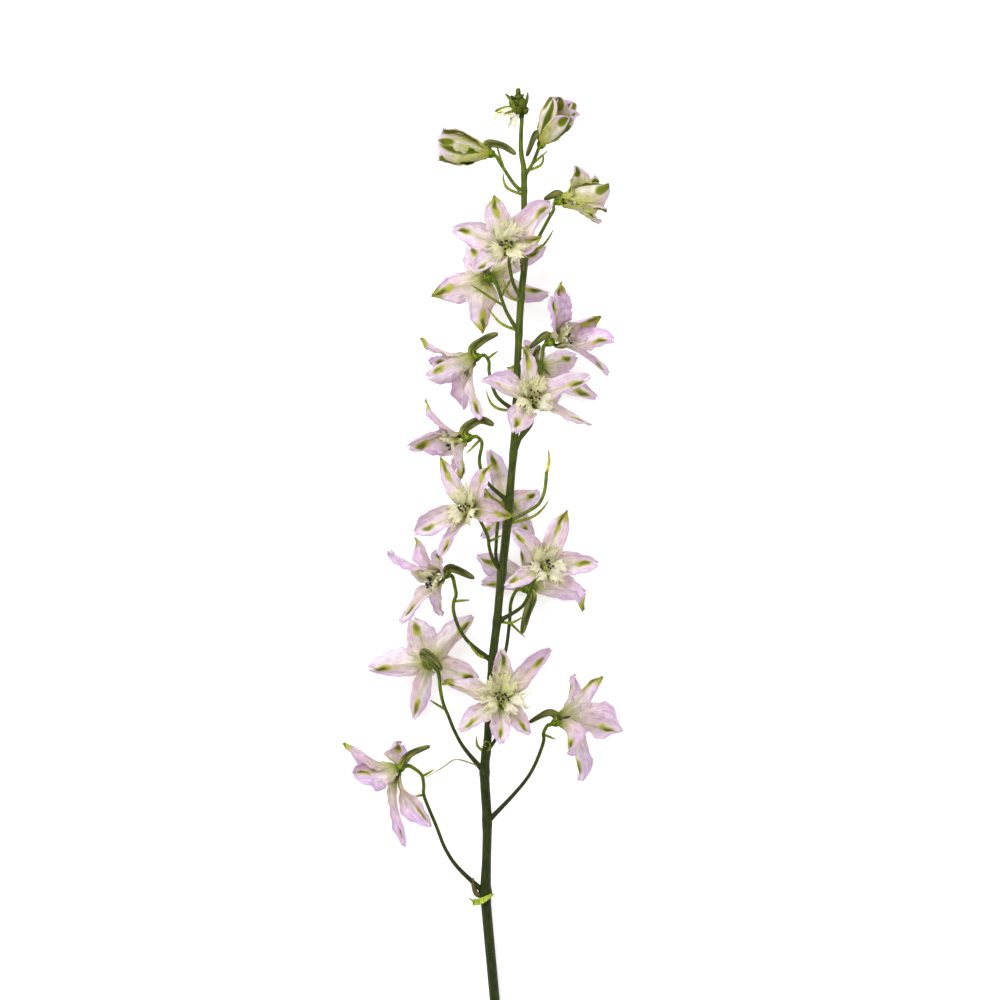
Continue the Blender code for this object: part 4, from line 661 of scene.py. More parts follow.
def petal_ground(t, v, rng, tone):
    """Colour of a sepal under its marks: lilac or pale with painted shade, and green towards the
    heart.
    """
    edge = np.abs(v) ** 2.0
    drift = np.sin(5.0 * t + 3.0 * v + rng.uniform(0, 6)) * np.cos(4.0 * v + rng.uniform(0, 3))
    lilac = np.clip(tone + 0.5 * edge + 0.3 * (t - 0.45) + 0.24 * drift, 0.0, 1.0)
    colour = blend(PALE, LILAC, lilac)
    # Painted shade, in mauve: a soft patch where sepals lie over each other, and one folded half
    # darkened
    overlap_shade = hump(t, rng.uniform(0.25, 0.7), 0.25) * hump(v, rng.uniform(-0.7, 0.7), 0.4)
    shaded = ease(v * rng.choice([-1.0, 1.0]) * 2.5) * ease(t / 0.3) * rng.uniform(0.0, 0.55)
    colour = blend(colour, SHADE_MAUVE, np.clip(0.5 * overlap_shade + shaded, 0.0, 1.0))
    # Painted shade: a darker band along the margins, where they fold and are seen edge-on
    rim = ease((np.abs(v) - 0.84) / 0.16) * ease((t - 0.2) / 0.3) * (0.6 + 0.4 * drift)
    colour = blend(colour, RIM_SHADE, 0.5 * rim)
    colour = blend(colour, STRAW, rng.uniform(0.2, 0.6) * ease((0.75 - t) / 0.5))
    base = ease((0.44 - t) / 0.38) * (1.0 - 0.4 * edge)
    colour = blend(colour, BASE_GREEN, 0.95 * base)
    colour = blend(colour, HEART_GREEN, 0.85 * ease((0.18 - t) / 0.16))
    rib = hump(v, 0.0, 0.09) * ease((0.98 - t) / 0.6) * 0.4
    return blend(colour, BASE_GREEN, rib)


def bud_marks(colour, t, v, rng):
    """The green flush, pale back and dark stripe of a bud's sepal."""
    flush = ease((1.02 - t) / 0.5) * (0.6 + 0.4 * np.abs(v) ** 2.0)
    colour = blend(colour, BUD_LIGHT, 0.95 * flush)
    colour = blend(colour, WHITE, 0.75 * spot(t, v, 0.6, 0.0, 0.32, 0.3, 0.9))
    way = rng.choice([-0.42, -0.3, 0.3, 0.42])
    stripe = spot(t, v, rng.uniform(0.55, 0.66), way, 0.36, 0.22, 0.6)
    stripe = np.maximum(stripe, 0.8 * spot(t, v, 0.9, -way * 0.6, 0.16, 0.3, 0.5))
    return blend(blend(colour, HALO, ease(stripe * 2.0)), STRIPE, stripe)


def tip_marks(colour, t, v, rng, form, place, skew):
    """A dark green blotch in a yellow-green halo near the tip, with a thin tail."""
    if form == "sharp":
        halo = np.maximum(ease((t - 0.8) / 0.1), spot(t, v, 0.78, skew, 0.18, 0.28, 0.6))
        core = np.maximum(0.7 * ease((t - 0.93) / 0.06), spot(t, v, 0.86, skew, 0.1, 0.2, 0.8))
    else:
        halo = spot(t, v, place - 0.01, skew, rng.uniform(0.1, 0.16), 0.27, 0.7)
        core = spot(t, v, place + 0.02, skew * 1.3, 0.085, rng.uniform(0.13, 0.2), 0.9)
    tail = hump(v, skew, 0.12) * ease((t - 0.42) / 0.35) * ease((place - t) / 0.1 + 0.5)
    halo = np.maximum(halo, 0.6 * tail)
    colour = blend(colour, HALO, np.clip(0.9 * halo, 0.0, 1.0))
    return blend(colour, BLOTCH, core * rng.uniform(0.6, 1.0))


def petal_tint(t, v, rng, tone, form):
    """Colour over a sepal: t along it, v across it from -1 to 1."""
    colour = petal_ground(t, v, rng, tone)
    place = 0.82 + rng.uniform(-0.04, 0.02)
    skew = rng.uniform(-0.2, 0.2)
    bent = v + 0.07 * np.sin(11.0 * t + rng.uniform(0, 6)) + 0.03 * np.sin(37.0 * t)
    if form == "bud":
        return bud_marks(colour, t, v, rng)
    return tip_marks(colour, t, bent, rng, form, place, skew)


def sepal_form(bloom, sepal, rng):
    """The form of a sepal, and how much wider than the solid's it is."""
    wide = WIDER.get(bloom["name"], WIDEN)
    upper = sepal is bloom["sepals"][0] and facing_of(bloom)[2] > LOOKS_DOWN
    sharp = rng.uniform() < SHARP_SHARE or upper
    if bloom["bee"] < HALF_OPEN:
        return "bud", wide
    if wide > WIDEN and not upper:
        return "wide", wide
    return ("sharp" if sharp else "blunt"), wide


def each_side(v, rng, low, high):
    """One random value for each side of a petal."""
    return np.where(v > 0, rng.uniform(low, high), rng.uniform(low, high))


def ripple(t, v, rng, least, more, shift):
    """Waves along a petal, out of step on its two sides; least and more count them."""
    turns = least + rng.uniform(0, more)
    return np.sin(2 * np.pi * turns * t + rng.uniform(0, 6) + shift * np.sign(v))


def sepal_relief(t, v, half, width, form, closed, lively, rng):
    """How far a sepal's points stand sideways and out of its blade, and the hook of its tip."""
    side = np.abs(v)
    grown = ease(t / 0.3)
    margin = 1.0 + side * (0.07 * np.sin(9.0 * t + 2.0 * np.sign(v) + rng.uniform(0, 6))
                           + 0.03 * np.sin(31.0 * t + 5.0 * np.sign(v)))
    fold = each_side(v, rng, -0.1, 0.65) * grown * lively
    rolled = each_side(v, rng, -1.2, 1.2) * lively
    rolled = rolled * ease((side - 0.55) / 0.45) * grown * ease((t - 0.3) / 0.4)
    spread = v * half * margin * (1.0 - 0.35 * fold * side) * (1.0 - 0.25 * np.abs(rolled))
    wave = side ** 1.6 * grown * width * (0.5 if closed else 1.0)
    wave = wave * (0.085 * ripple(t, v, rng, 1.5, 0.9, 1.9)
                   + 0.028 * ripple(t, v, rng, 5.0, 2, 2.6))
    rib = -0.22 * hump(v, 0.0, 0.12) * grown * (1.0 - ease((t - 0.8) / 0.2))
    veins = 0.05 * np.cos(v * 8.0 * np.pi) * grown * (1.0 - ease((t - 0.75) / 0.25))
    cup = BUD_CUP if closed else SEPAL_CUP
    height = cup * half * v ** 2 + half * side * fold * 0.9 - half * 0.5 * rolled
    height = height + wave + rib + veins
    if closed:
        height = height + MOUTH_IN * ease((t - 0.6) / 0.4)
    hook = rng.choice([-1.0, 1.0]) * rng.uniform(0.8, 2.2)
    if form == "sharp":
        return spread, height + hook * ease((t - 0.8) / 0.2), hook
    return spread, height + 0.8 * hook * hump(v, 0.0, 0.3) * ease((t - 0.88) / 0.12), hook


def make_sepal(build, bloom, sepal, rng):
    """One thin, waved and folded sepal with its marked tip."""
    line, side, full_turn = sepal_middle(bloom, sepal)
    width = sepal[3]
    form, wide = sepal_form(bloom, sepal, rng)
    closed = bloom["bee"] < BUD
    lively = BUD_CALM if closed else 1.0
    ahead = np.gradient(line, axis=0)
    ahead = units(ahead - np.outer(ahead @ side, side))
    normal = np.cross(ahead, side)
    t, v = shares(SEPAL_ROWS, SEPAL_COLS)
    share = t[:, :1]
    turn = full_turn * ease(share) + lively * rng.uniform(-0.4, 0.4) * ease(share) ** 2
    across = side * np.cos(turn) + normal * np.sin(turn)
    face = normal * np.cos(turn) - side * np.sin(turn)
    half = 0.5 * width * wide * sepal_half_width(share, form)
    spread, height, hook = sepal_relief(t, v, half, width, form, closed, lively, rng)
    grid = laid_out(line, spread, across, height, face)
    if form in ("blunt", "wide"):
        ears = 0.12 * width * hump(np.abs(v), 0.6, 0.35) * ease((t - 0.7) / 0.3)
        grid = grid + ears[..., None] * ahead[:, None, :]
    lowest = grid[:, :, 2].min(axis=1)
    grid[:, :, 2] += np.maximum(FLOOR_CLEAR - lowest, 0.0)[:, None]
    thick = 0.26 - 0.14 * np.abs(v) + 0.35 * hump(t, 0.0, 0.12) + 0.3 * hump(t, 1.0, 0.04)
    tone = TONES.get(bloom["name"], TONE) + rng.uniform(-0.15, 0.12)
    sheet_solid(build, grid, thick, petal_tint(t, v, rng, tone, form), t, v)
    if form == "sharp":
        horn = grid[-2, SEPAL_COLS // 2]
        tip = horn + (ahead[-1] * 1.7 + face[-1] * 0.35 * hook)
        tip[2] = max(tip[2], 2.0 * FLOOR_CLEAR)
        tint = mix(BLOTCH, HALO, rng.uniform(0.2, 0.8))
        spike(build, horn, tip, 0.26, tint, face[-1] * 0.2 * hook)


def spur_shape(share, turns):
    """Ribs and wrinkles round a spur."""
    return (1.0 + 0.07 * np.cos(3.0 * turns + 4.0 * share) + 0.04 * np.cos(7.0 * turns)
            + 0.03 * np.sin(19.0 * share + 2.0 * turns))


def make_spur(build, bloom):
    """The spur behind the upper sepal, olive with a paler root, and the heart."""
    heart = vec(*bloom["heart"])
    route = [tuple(heart), *((x, y, heart[2] + rise) for x, y, rise in bloom["spur"])]
    path = curve_through(route, 10)
    share = np.linspace(0.0, 1.0, len(path))
    full = bloom["spur_radius"]
    after = np.clip((share - SPUR_FULL) / (1.0 - SPUR_FULL), 0, 1)
    radius = np.where(share < SPUR_FULL, full * mix(SPUR_ROOT, 1.0, share / SPUR_FULL),
                      full * mix(1.0, SPUR_END, after ** 2.2))
    radius[-3:] *= vec(0.97, 0.85, 0.45)
    tint = blend(SPUR_LIGHT, SPUR_OLIVE, ease(share * 1.8))
    tube(build, path, radius, SPUR_SIDES, tint, 1, spur_shape)
    bead(build, heart, facing_of(bloom), 4.8, 1.9, HEART_GREEN, 14, 8, 1)


def make_sepals(bloom, number):
    """The sepals, spur and heart of one bloom."""
    rng = np.random.RandomState(SEPAL_SEED + number)
    build = Build()
    for sepal in bloom["sepals"]:
        make_sepal(build, bloom, sepal, rng)
    make_spur(build, bloom)
    name = bloom["name"]
    build.piece(name + "_petals", [petal_skin, spur_skin], [name + "_sepals"])


def bee_frame(bloom):
    """Heart, facing and two ways across it for the inner petals; the first is upwards."""
    facing = facing_of(bloom)
    up = vec(0.0, 1.0, 0.0)
    up = unit(up - facing * up.dot(facing))
    return vec(*bloom["heart"]), facing, up, unit(np.cross(facing, up))


def add_fringe(build, bloom, grid, ahead, across, rng):
    """The hairs and the forked, hair-like strips at the end of an inner petal."""
    rows, cols = grid.shape[:2]
    v = np.linspace(-1.0, 1.0, cols)
    size = bloom["bee"]
    fringe = FRINGES.get(bloom["name"], 1.0)
    for _ in range(HAIRS_A_PETAL):
        i, k = rng.randint(rows - HAIRY_ROWS, rows), rng.randint(0, cols)
        away = unit(ahead[i] + across * v[k] * 0.9 + rng.normal(0, 0.35, 3))
        tip = grid[i, k] + away * rng.uniform(0.8, 2.4) * size * fringe
        tint = mix(WHITE, CREAM, rng.uniform(0, 1))
        spike(build, grid[i, k], tip, HAIR_RADIUS, tint, rng.normal(0, 0.2, 3))
    for _ in range(STRIPS_A_PETAL):
        k = rng.randint(0, cols)
        far = rng.uniform(2.2, 4.4) * size * flare(bloom) * fringe
        away = unit(ahead[-1] * 0.7 + across * v[k] * fringe + rng.normal(0, 0.25, 3))
        root = grid[-3, k]
        middle = root + away * far * 0.5 + rng.normal(0, 0.16, 3) * far
        strip = curve_through([root, middle, root + away * far], 4)
        tint = mix(WHITE, CREAM, rng.uniform(0, 1))
        tube(build, strip, np.linspace(0.30, 0.05, len(strip)) * size, THIN_SIDES, tint)
        fork = unit(away + rng.normal(0, 0.5, 3))
        spike(build, middle, middle + fork * far * 0.5, 0.1, tint)


def make_inner_petal(build, bloom, turn, rng):
    """A cream petal: a claw, then a blade whose frayed end splits into hair-like strips."""
    heart, facing, up, side = bee_frame(bloom)
    size = bloom["bee"]
    spread = flare(bloom)
    upper = math.cos(turn) > 0
    rise, droop, reach, broad = UPPER_PETAL if upper else LOWER_PETAL
    radial = around(up, side, turn)
    across = unit(np.cross(facing, radial))
    t, v = shares(PETAL_ROWS, PETAL_COLS)
    share, place = t[:, 0], v[0]
    own = rng.uniform(0.85, 1.12)
    high = HEART_RADIUS + (1.5 + rise * share - droop * share ** 3) * size
    out = (0.8 + reach * share ** 1.7 * spread * own) * size
    line = heart + np.outer(high, facing) + np.outer(out, radial)
    half = (0.7 + broad * own * np.sin(np.pi * 0.66 * share) ** 1.8) * size
    half *= 0.6 + 0.4 * spread
    teeth = np.repeat(rng.uniform(0.0, 1.0, PETAL_COLS // 2 + 1), 2)[:PETAL_COLS]
    teeth = teeth - 0.9 * hump(place, rng.uniform(-0.25, 0.25), 0.16) - 0.3 * np.abs(place)
    ahead = units(np.gradient(line, axis=0))
    wave = size * (0.6 * np.abs(v) * np.sin(9.0 * t + 4.0 * v + rng.uniform(0, 6))
                   + rng.uniform(-0.4, 1.6) * v ** 2 * ease(t / 0.3)
                   + rng.uniform(-1.2, 1.2) * v * ease(t / 0.5)
                   + 0.3 * np.sin(v * 14.0 + rng.uniform(0, 6)) * ease((t - 0.4) / 0.6))
    rough = 1.0 + 0.2 * rng.uniform(-1, 1, t.shape) * ease((np.abs(v) - 0.6) / 0.4)
    grid = laid_out(line, v * half[:, None] * rough, across[None, :], wave,
                    np.cross(across, ahead))
    frayed = (teeth - 0.4) * 3.0 * size * ease((t - 0.62) / 0.38)
    grid = grid + frayed[..., None] * ahead[:, None, :]
    pale = mix(CREAM, WHITE, rng.uniform(0.2, 0.6) if upper else rng.uniform(0.5, 1.0))
    tint = blend(BEE_BASE, pale, ease((t - 0.12) / 0.6))
    streak = 0.3 * hump(np.cos(v * 11.0 + rng.uniform(0, 6)), 1.0, 0.5) * ease((0.95 - t) / 0.7)
    tint = blend(tint, BEE_BASE, streak + 0.3 * hump(v, 0.0, 0.12) * (1.0 - t))
    sheet_solid(build, grid, PETAL_THICK, tint, t, v)
    add_fringe(build, bloom, grid, ahead, across, rng)


def add_carpels(build, bloom):
    """The green carpels in the middle of a bloom."""
    heart, facing, up, side = bee_frame(bloom)
    size = bloom["bee"]
    for k in range(CARPELS):
        radial = around(up, side, 2.0 * math.pi * k / CARPELS + 0.4)
        root = heart + facing * 2.2 + radial * 0.4
        path = curve_through([root, root + facing * 2.2 * size + radial * 0.3,
                              root + facing * 4.6 * size + radial * 0.5], 4)
        radii = 0.55 * size * np.linspace(1.0, 0.25, len(path)) ** 0.7
        tube(build, path, radii, 7, BEE_BASE, 1)


def add_filaments(build, bloom, rng):
    """The stamens' pale filaments; gives each one's end and the way that its anther lies."""
    heart, facing, up, side = bee_frame(bloom)
    size = bloom["bee"]
    count, room = (STAMENS, 1.0) if size > BUD else (BUD_STAMENS, 0.5)
    ends = []
    for k in range(count):
        radial = around(up, side, 2.0 * math.pi * (k + rng.uniform(-0.3, 0.3)) / count)
        wide = rng.uniform(0.8, 2.6) * size * room
        high = rng.uniform(4.6, 7.4) * size
        root = heart + facing * 2.3 + radial * 0.5
        end = heart + facing * (HEART_RADIUS + high) + radial * wide - up * 0.7 * size
        middle = (root + end) * 0.5 + facing * 0.8 * size + radial * 0.3
        path = curve_through([root, middle, end], 4)
        tube(build, path, np.linspace(0.22, 0.12, len(path)), THIN_SIDES, FILAMENT, 1)
        ends.append((end, unit(end - middle + rng.normal(0, 0.5, 3))))
    return ends


def make_bee(bloom, number):
    """The inner petals, carpels and filaments of one bloom, and its anthers as a piece."""
    rng = np.random.RandomState(BEE_SEED + number)
    build = Build()
    for angle in PETAL_TURNS:
        make_inner_petal(build, bloom, math.radians(angle) + rng.uniform(-0.16, 0.16), rng)
    add_carpels(build, bloom)
    ends = add_filaments(build, bloom, rng)
    name, size = bloom["name"], bloom["bee"]
    build.piece(name + "_inner_petals", [cream_skin, green_skin], [name + "_bee"])
    dark = Build()
    for end, way in ends:
        bead(dark, end + way * 0.3, way, 1.5 * size, 0.48 * size, ANTHER, 8, 5, 0, 0.7)
    dark.piece(name + "_anthers", [anther_skin], [])


def stalk_path(bloom):
    """The point inside the heart, then a stalk's middle points from short of it to the stem."""
    heart = vec(*bloom["heart"])
    facing = facing_of(bloom)
    ways = bloom["stalk"]
    root_height = stem_height(ways[-1][1])
    reach, previous = [0.0], heart[:2]
    for way in ways:
        reach.append(reach[-1] + float(np.linalg.norm(vec(*way) - previous)))
        previous = vec(*way)
    points = []
    for (x, y), gone in zip(ways, reach[1:]):
        points.append(vec(x, y, mix(heart[2] - 2.0 * facing[2], root_height, gone / reach[-1])))
    toward = unit(points[0] - heart)
    approach = unit(toward * 0.7 - facing * 0.6)
    first = heart + approach * (HEART_RADIUS + GAP + 0.4)
    while np.linalg.norm(points[0] - heart) < HEART_RADIUS + GAP + 1.2:
        points = points[1:]
    joint = heart + approach * HEART_RADIUS * 0.5
    return joint, [first, *points]


def stem_tint(y):
    """Dark green low on the stem, lighter towards the tip."""
    share = np.clip((np.asarray(y) + 120.0) / 280.0, 0.0, 1.0)
    return blend(STEM_LOW, STEM_HIGH, share ** 1.3)


def stem_ridges(share, turns):
    return 1.0 + 0.035 * np.cos(6.0 * turns + 0.6 * share) + 0.012 * np.cos(13.0 * turns)


def leaf(build, path, width, tint, rng):
    """A narrow, nearly level leaf that follows path, folded a little along its middle."""
    line = curve_through(path, max(2, LEAF_STEPS // (len(path) - 1)))
    t, v = shares(len(line), LEAF_COLS)
    ahead = units(np.gradient(line, axis=0))
    side = units(np.cross(ahead, vec(0, 0, 1)))
    half = 0.5 * width * np.maximum(0.12, np.sin(np.pi * (0.28 + 0.70 * t)) ** 0.8)
    fold = 0.35 * np.abs(v) * half
    wave = 0.10 * v * np.sin(8 * t + rng.uniform(0, 6))
    grid = laid_out(line, half * v, side, fold + wave, np.cross(side, ahead))
    sheet_solid(build, grid, LEAF_THICK, blend(tint * 0.7, tint, ease(t * 2.0)), t, v)


def add_axis(build):
    """The main stem, which swells a little at its nodes."""
    path = curve_through([*STEM, STEM_TOP], 7)
    nodes = [bloom["stalk"][-1][1] for bloom in BLOOMS] + BARE_NODES
    swell = sum(0.16 * hump(path[:, 1], y, 1.8) for y in nodes)
    tint = stem_tint(path[:, 1])
    tube(build, path[:, :3], path[:, 3] * (1.0 + swell), STEM_SIDES, tint, 0, stem_ridges)


def add_stalks(build):
    """The flower stalks, thickest where they meet the stem and the heart."""
    for bloom in BLOOMS:
        joint, points = stalk_path(bloom)
        line = curve_through([joint, *points], 7)
        t = np.linspace(0.0, 1.0, len(line))
        radii = STALK_RADIUS + 0.35 * (1.0 - t) ** 8 + 0.65 * t ** 14
        tint = blend(HEART_GREEN, stem_tint(line[:, 1]), ease(t * 1.2 - 0.1))
        tube(build, line, radii, STALK_SIDES, tint)


def add_bracts(build, rng):
    """The bracts at the stalks' feet and the bracteoles on the stalks."""
    for bract in BRACTS:
        width, tint = (0.6, DRY) if bract is WITHERED_BRACT else (1.1, BRACT_GREEN)
        leaf(build, over_stem(bract), width, tint, rng)
    by_name = {bloom["name"]: bloom for bloom in BLOOMS}
    for name, share, (x, y, rise) in BRACTEOLES:
        way = stalk_path(by_name[name])[1]
        place = (len(way) - 1) * (1.0 - share)
        k = min(int(place), len(way) - 2)
        root = mix(way[k], way[k + 1], place - k)
        tip = vec(x, y, root[2] + rise)
        middle = (root + tip) * 0.5 + vec(0, 0, 0.5)
        leaf(build, [root, middle, tip], 1.0, BRACT_GREEN * 0.9, rng)
    leaf(build, over_stem(BOAT_BRACT), 2.6, BOAT_GREEN, rng)
    coil = curve_through(over_stem(COILED_BRACT), 5)
    tube(build, coil, np.linspace(0.42, 0.16, len(coil)), 7, BRACT_GREEN)


def make_stem():
    """The main stem with all that grew from it."""
    rng = np.random.RandomState(STEM_SEED)
    build = Build()
    add_axis(build)
    add_stalks(build)
    add_bracts(build, rng)
    bare = curve_through(BARE_STALK, 6)
    tube(build, bare, STALK_RADIUS, STALK_SIDES, mix(STEM_HIGH, BRACT_GREEN, 0.3))
    leaf(build, BARE_STALK_LEAF, 1.2, LEAF_GOLD, rng)
    stub = curve_through(DRY_STUB, 6)
    tube(build, stub, np.linspace(1.25, 0.75, len(stub)), STALK_SIDES, STUB_BROWN)
    build.piece("green_stem", [green_skin], ["stem"])


def add_small_buds(build, rng):
    """Slender buds crowded round the core."""
    for _ in range(SMALL_BUDS):
        x, y = rng.uniform(4.6, 10.0), rng.uniform(154.6, 161.6)
        place = vec(x, y, TIP_HEIGHT + rng.uniform(-1.4, 1.8))
        way = unit(vec(x - 7.6, 1.6, 0.4) + rng.normal(0, 0.5, 3))
        tint = mix(BUD_GREEN, BRACT_GREEN, rng.uniform(0.0, 0.5)) * rng.uniform(0.6, 1.1)
        bead(build, place, way, rng.uniform(2.0, 3.4), rng.uniform(0.5, 0.8), tint)


def add_round_buds(build, rng):
    """The larger buds, each wrapped in four swollen sepals."""
    for x, y, z, radius in TIP_BUDS:
        middle = vec(x, y, z)
        way = unit(vec(x - 8.0, y - 150.0, z - TIP_HEIGHT) + rng.normal(0, 0.6, 3))
        side = unit(np.cross(way, vec(0.3, 0.2, 0.9)))
        tint = mix(BUD_GREEN, BRACT_GREEN, rng.uniform(0.0, 0.3))
        bead(build, middle, way, radius * 2.5, radius * 0.95, tint, 14, 10)
        for k in range(4):
            off = around(side, np.cross(way, side), k * math.pi / 2 + rng.uniform(0, 1))
            bead(build, middle + off * radius * 0.5, way, radius * 2.5, radius * 0.55,
                 tint * rng.uniform(0.8, 1.3))


def opening_folds(share, turns):
    return 1.0 + 0.14 * np.cos(5.0 * turns + 2.0 * share)


def add_opening_bud(build, rng):
    """The bud at the tip that is opening, with four pale or green sepals."""
    path, radii = path_and_radii(TIP_OPENING_BUD, 6)
    share = np.linspace(0, 1, len(path))
    tint = blend(BRACT_GREEN * 0.6, mix(PALE, CREAM, 0.6), ease(share * 2.0 - 0.5))
    tube(build, path, radii, SPUR_SIDES, tint, 0, opening_folds)
    sepals = ((2.4, BRACT_GREEN * 0.7), (1.0, CREAM * 0.8), (-1.2, PALE), (-2.6, PALE))
    for side, tint in sepals:
        way = [(5.6, 155.6, 31.8), (2.4, 154.6 + side * 0.5, 32.8), (-2.0, 152.9 + side, 32.0)]
        leaf(build, way, 3.4, tint, rng)


def make_tip():
    """The crowd of buds at the end of the stem."""
    rng = np.random.RandomState(TIP_SEED)
    build = Build()
    core, radii = path_and_radii(TIP_CORE, 5)
    tube(build, core, radii * 1.25, STALK_SIDES, BUD_GREEN)
    add_small_buds(build, rng)
    add_round_buds(build, rng)
    for path in TIP_BRACTS[:STANDING_BRACTS]:
        leaf(build, path, 1.5, mix(BRACT_GREEN, BUD_GREEN, 0.4), rng)
    for path in TIP_BRACTS[STANDING_BRACTS:]:
        leaf(build, path, 1.9, mix(PALE, BRACT_GREEN, 0.35), rng)
    add_opening_bud(build, rng)
    build.piece("bud_cluster", [green_skin], ["tip_buds"])


def node_tree(name):
    """A new material and its empty tree."""
    material = bpy.data.materials.new(name)
    material.use_nodes = True
    material.node_tree.nodes.clear()
    return material, material.node_tree


def add_node(tree, kind, inputs=None, **settings):
    """A node with its settings, then the values of its inputs."""
    node = tree.nodes.new(kind)
    for key, value in settings.items():
        setattr(node, key, value)
    for key, value in (inputs or {}).items():
        node.inputs[key].default_value = value
    return node


def tint_source(tree):
    return add_node(tree, "ShaderNodeAttribute", attribute_name="tint").outputs["Color"]


def noise(tree, place, inputs, stretch=None):
    """Soft noise at place, which is stretched first where stretch is given."""
    if stretch:
        scale = add_node(tree, "ShaderNodeMapping", {"Scale": stretch})
        tree.links.new(place, scale.inputs["Vector"])
        place = scale.outputs["Vector"]
    node = add_node(tree, "ShaderNodeTexNoise", inputs)
    tree.links.new(place, node.inputs["Vector"])
    return node.outputs["Fac"]


def streaks(tree, across, along, detail):
    """Fine lines that run along a petal, from its own coordinates."""
    place = add_node(tree, "ShaderNodeUVMap", uv_map="petal").outputs["UV"]
    inputs = {"Scale": 1.0, "Detail": detail, "Roughness": 0.6, "Distortion": 0.35}
    return noise(tree, place, inputs, (across, along, 1.0))


def ramp(tree, source, stops):
    """Colours by the value of source, from (value, colour) stops."""
    node = add_node(tree, "ShaderNodeValToRGB")
    elements = node.color_ramp.elements
    while len(elements) > 1:
        elements.remove(elements[-1])
    elements[0].position, elements[0].color = stops[0][0], (*stops[0][1], 1.0)
    for place, colour in stops[1:]:
        elements.new(place).color = (*colour, 1.0)
    tree.links.new(source, node.inputs["Fac"])
    return node.outputs["Color"]


def multiply(tree, first, second, share):
    node = add_node(tree, "ShaderNodeMix", {"Factor": share}, data_type="RGBA",
                    blend_type="MULTIPLY")
    tree.links.new(first, node.inputs[6])
    tree.links.new(second, node.inputs[7])
    return node.outputs[2]


def skin(tree, colour, roughness, specular, relief=None, strength=0.0, depth=0.0):
    """A coloured surface; relief, where it is given, raises it by up to depth, in metres."""
    shader = add_node(tree, "ShaderNodeBsdfPrincipled",
                      {"Roughness": roughness, "Specular IOR Level": specular})
    tree.links.new(colour, shader.inputs["Base Color"])
    if relief:
        bump = add_node(tree, "ShaderNodeBump", {"Strength": strength, "Distance": depth})
        tree.links.new(relief, bump.inputs["Height"])
        tree.links.new(bump.outputs["Normal"], shader.inputs["Normal"])
    return shader.outputs["BSDF"]


def finished(material, surface):
    """material, with surface as what it shows."""
    out = add_node(material.node_tree, "ShaderNodeOutputMaterial")
    material.node_tree.links.new(surface, out.inputs["Surface"])
    return material


def thin_tissue(name, vein, lit, share):
    """Thin petal tissue: veined, softly shining, with light coming through it."""
    material, tree = node_tree(name)
    veins = streaks(tree, 52.0, 4.5, 5.0)
    between = tuple(mix(vec(*vein), vec(1, 1, 1), 0.7))
    lines = ramp(tree, veins, [(0.36, vein), (0.46, between), (0.56, (1.0, 1.0, 1.0))])
    cloud = streaks(tree, 6.0, 9.0, 3.0)
    soft = ramp(tree, cloud, [(0.36, (0.90, 0.84, 0.90)), (0.5, (0.98, 0.97, 0.98)),
                              (0.64, (1.06, 1.06, 1.06))])
    colour = multiply(tree, multiply(tree, tint_source(tree), lines, share), soft, share)
    through = add_node(tree, "ShaderNodeBsdfTranslucent")
    tree.links.new(colour, through.inputs["Color"])
    both = add_node(tree, "ShaderNodeMixShader", {"Fac": lit})
    tree.links.new(skin(tree, colour, 0.55, 0.2, veins, 0.6, 0.0002), both.inputs[1])
    tree.links.new(through.outputs["BSDF"], both.inputs[2])
    return finished(material, both.outputs["Shader"])


def make_spur_skin():
    """Spur skin: olive, wrinkled lengthwise, with paler and mauve streaks."""
    material, tree = node_tree("spur_tissue")
    lines = streaks(tree, 11.0, 2.6, 4.0)
    shade = ramp(tree, lines, [(0.38, (0.30, 0.34, 0.26)), (0.46, (0.70, 0.72, 0.60)),
                               (0.53, (1.3, 1.25, 1.1)), (0.60, (2.6, 2.3, 2.2))])
    colour = multiply(tree, tint_source(tree), shade, 0.9)
    return finished(material, skin(tree, colour, 0.5, 0.12, lines, 0.7, 0.0003))


def make_green_skin():
    """Skin of stem, buds, carpels and filaments: matt, with fine streaks and pale flecks."""
    material, tree = node_tree("green_tissue")
    place = add_node(tree, "ShaderNodeTexCoord").outputs["Object"]
    lines = noise(tree, place, {"Scale": 1.0, "Detail": 4.0}, (2600.0, 160.0, 2600.0))
    fleck = ramp(tree, lines, [(0.38, (0.55, 0.60, 0.50)), (0.5, (1.0, 1.0, 1.0)),
                               (0.62, (2.1, 1.8, 1.4))])
    blot = noise(tree, place, {"Scale": 240.0, "Detail": 3.0})
    soft = ramp(tree, blot, [(0.35, (0.72, 0.78, 0.70)), (0.65, (1.15, 1.08, 1.0))])
    colour = multiply(tree, multiply(tree, tint_source(tree), fleck, 0.8), soft, 0.8)
    return finished(material, skin(tree, colour, 0.48, 0.14, lines, 0.5, 0.0002))


def make_anther_skin():
    """Dull blue-black anthers with a grain of pollen."""
    material, tree = node_tree("anther_coat")
    place = add_node(tree, "ShaderNodeTexCoord").outputs["Object"]
    grain = noise(tree, place, {"Scale": 3000.0})
    shade = ramp(tree, grain, [(0.4, (0.8, 0.8, 0.9)), (0.7, (2.2, 2.0, 2.4))])
    colour = multiply(tree, tint_source(tree), shade, 1.0)
    return finished(material, skin(tree, colour, 0.6, 0.5))


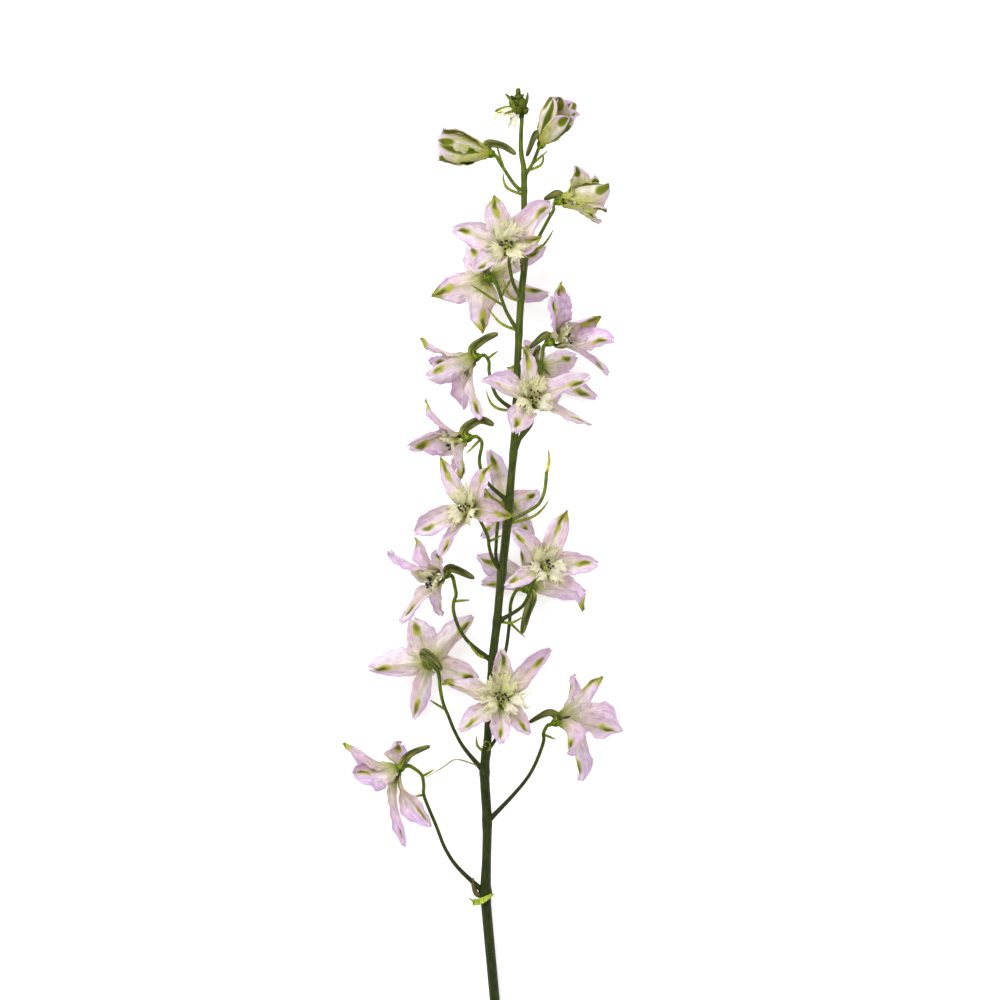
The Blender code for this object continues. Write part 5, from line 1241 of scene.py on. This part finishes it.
def make_floor():
    """A plain pale floor, lit a little from within so that shadows stay soft."""
    mesh = bpy.data.meshes.new("floor")
    corners = [(-1, -1), (1, -1), (1, 1), (-1, 1)]
    mesh.from_pydata([(x * FLOOR_REACH, y * FLOOR_REACH, 0) for x, y in corners], [],
                     [(0, 1, 2, 3)])
    floor = bpy.data.objects.new("floor", mesh)
    bpy.context.scene.collection.objects.link(floor)
    material, tree = node_tree("pale_floor")
    shader = add_node(tree, "ShaderNodeBsdfPrincipled",
                      {"Base Color": (0.82, 0.82, 0.82, 1.0), "Roughness": 0.9,
                       "Emission Color": (1.0, 1.0, 1.0, 1.0), "Emission Strength": FLOOR_GLOW})
    mesh.materials.append(finished(material, shader.outputs["BSDF"]))


def make_light():
    """A white room and one large soft lamp above the spike, towards its tip."""
    scene = bpy.context.scene
    world = bpy.data.worlds.new("white_room")
    world.use_nodes = True
    room = world.node_tree.nodes["Background"]
    room.inputs["Color"].default_value = (1.0, 1.0, 1.0, 1.0)
    room.inputs["Strength"].default_value = ROOM_LIGHT
    scene.world = world
    lamp = bpy.data.lights.new("softbox", "AREA")
    lamp.shape = "RECTANGLE"
    lamp.size, lamp.size_y = LAMP_SIZE
    lamp.energy = LAMP_POWER
    holder = bpy.data.objects.new("softbox", lamp)
    holder.location = LAMP_PLACE
    holder.rotation_euler = [math.radians(angle) for angle in LAMP_TILT]
    scene.collection.objects.link(holder)
    scene.view_settings.view_transform = "Standard"
    scene.view_settings.look = "None"


def make_camera():
    """Straight above the spike, as the photograph sees it upright."""
    data = bpy.data.cameras.new("camera")
    data.lens = LENS
    data.sensor_width = SENSOR
    camera = bpy.data.objects.new("camera", data)
    away = PHOTO_SPAN * LENS / SENSOR
    camera.location = (SHIFT[0] * MM, SHIFT[1] * MM, (away + BLOOM_LEVEL) * MM)
    bpy.context.scene.collection.objects.link(camera)
    bpy.context.scene.camera = camera


petal_skin = thin_tissue("sepal_tissue", (0.68, 0.58, 0.69), 0.45, 0.85)
cream_skin = thin_tissue("inner_petal_tissue", (0.76, 0.76, 0.45), 0.45, 0.7)
green_skin = make_green_skin()
spur_skin = make_spur_skin()
anther_skin = make_anther_skin()
make_camera()
make_light()
make_floor()
make_stem()
make_tip()
for number, bloom in enumerate(BLOOMS):
    make_sepals(bloom, number)
    make_bee(bloom, number)
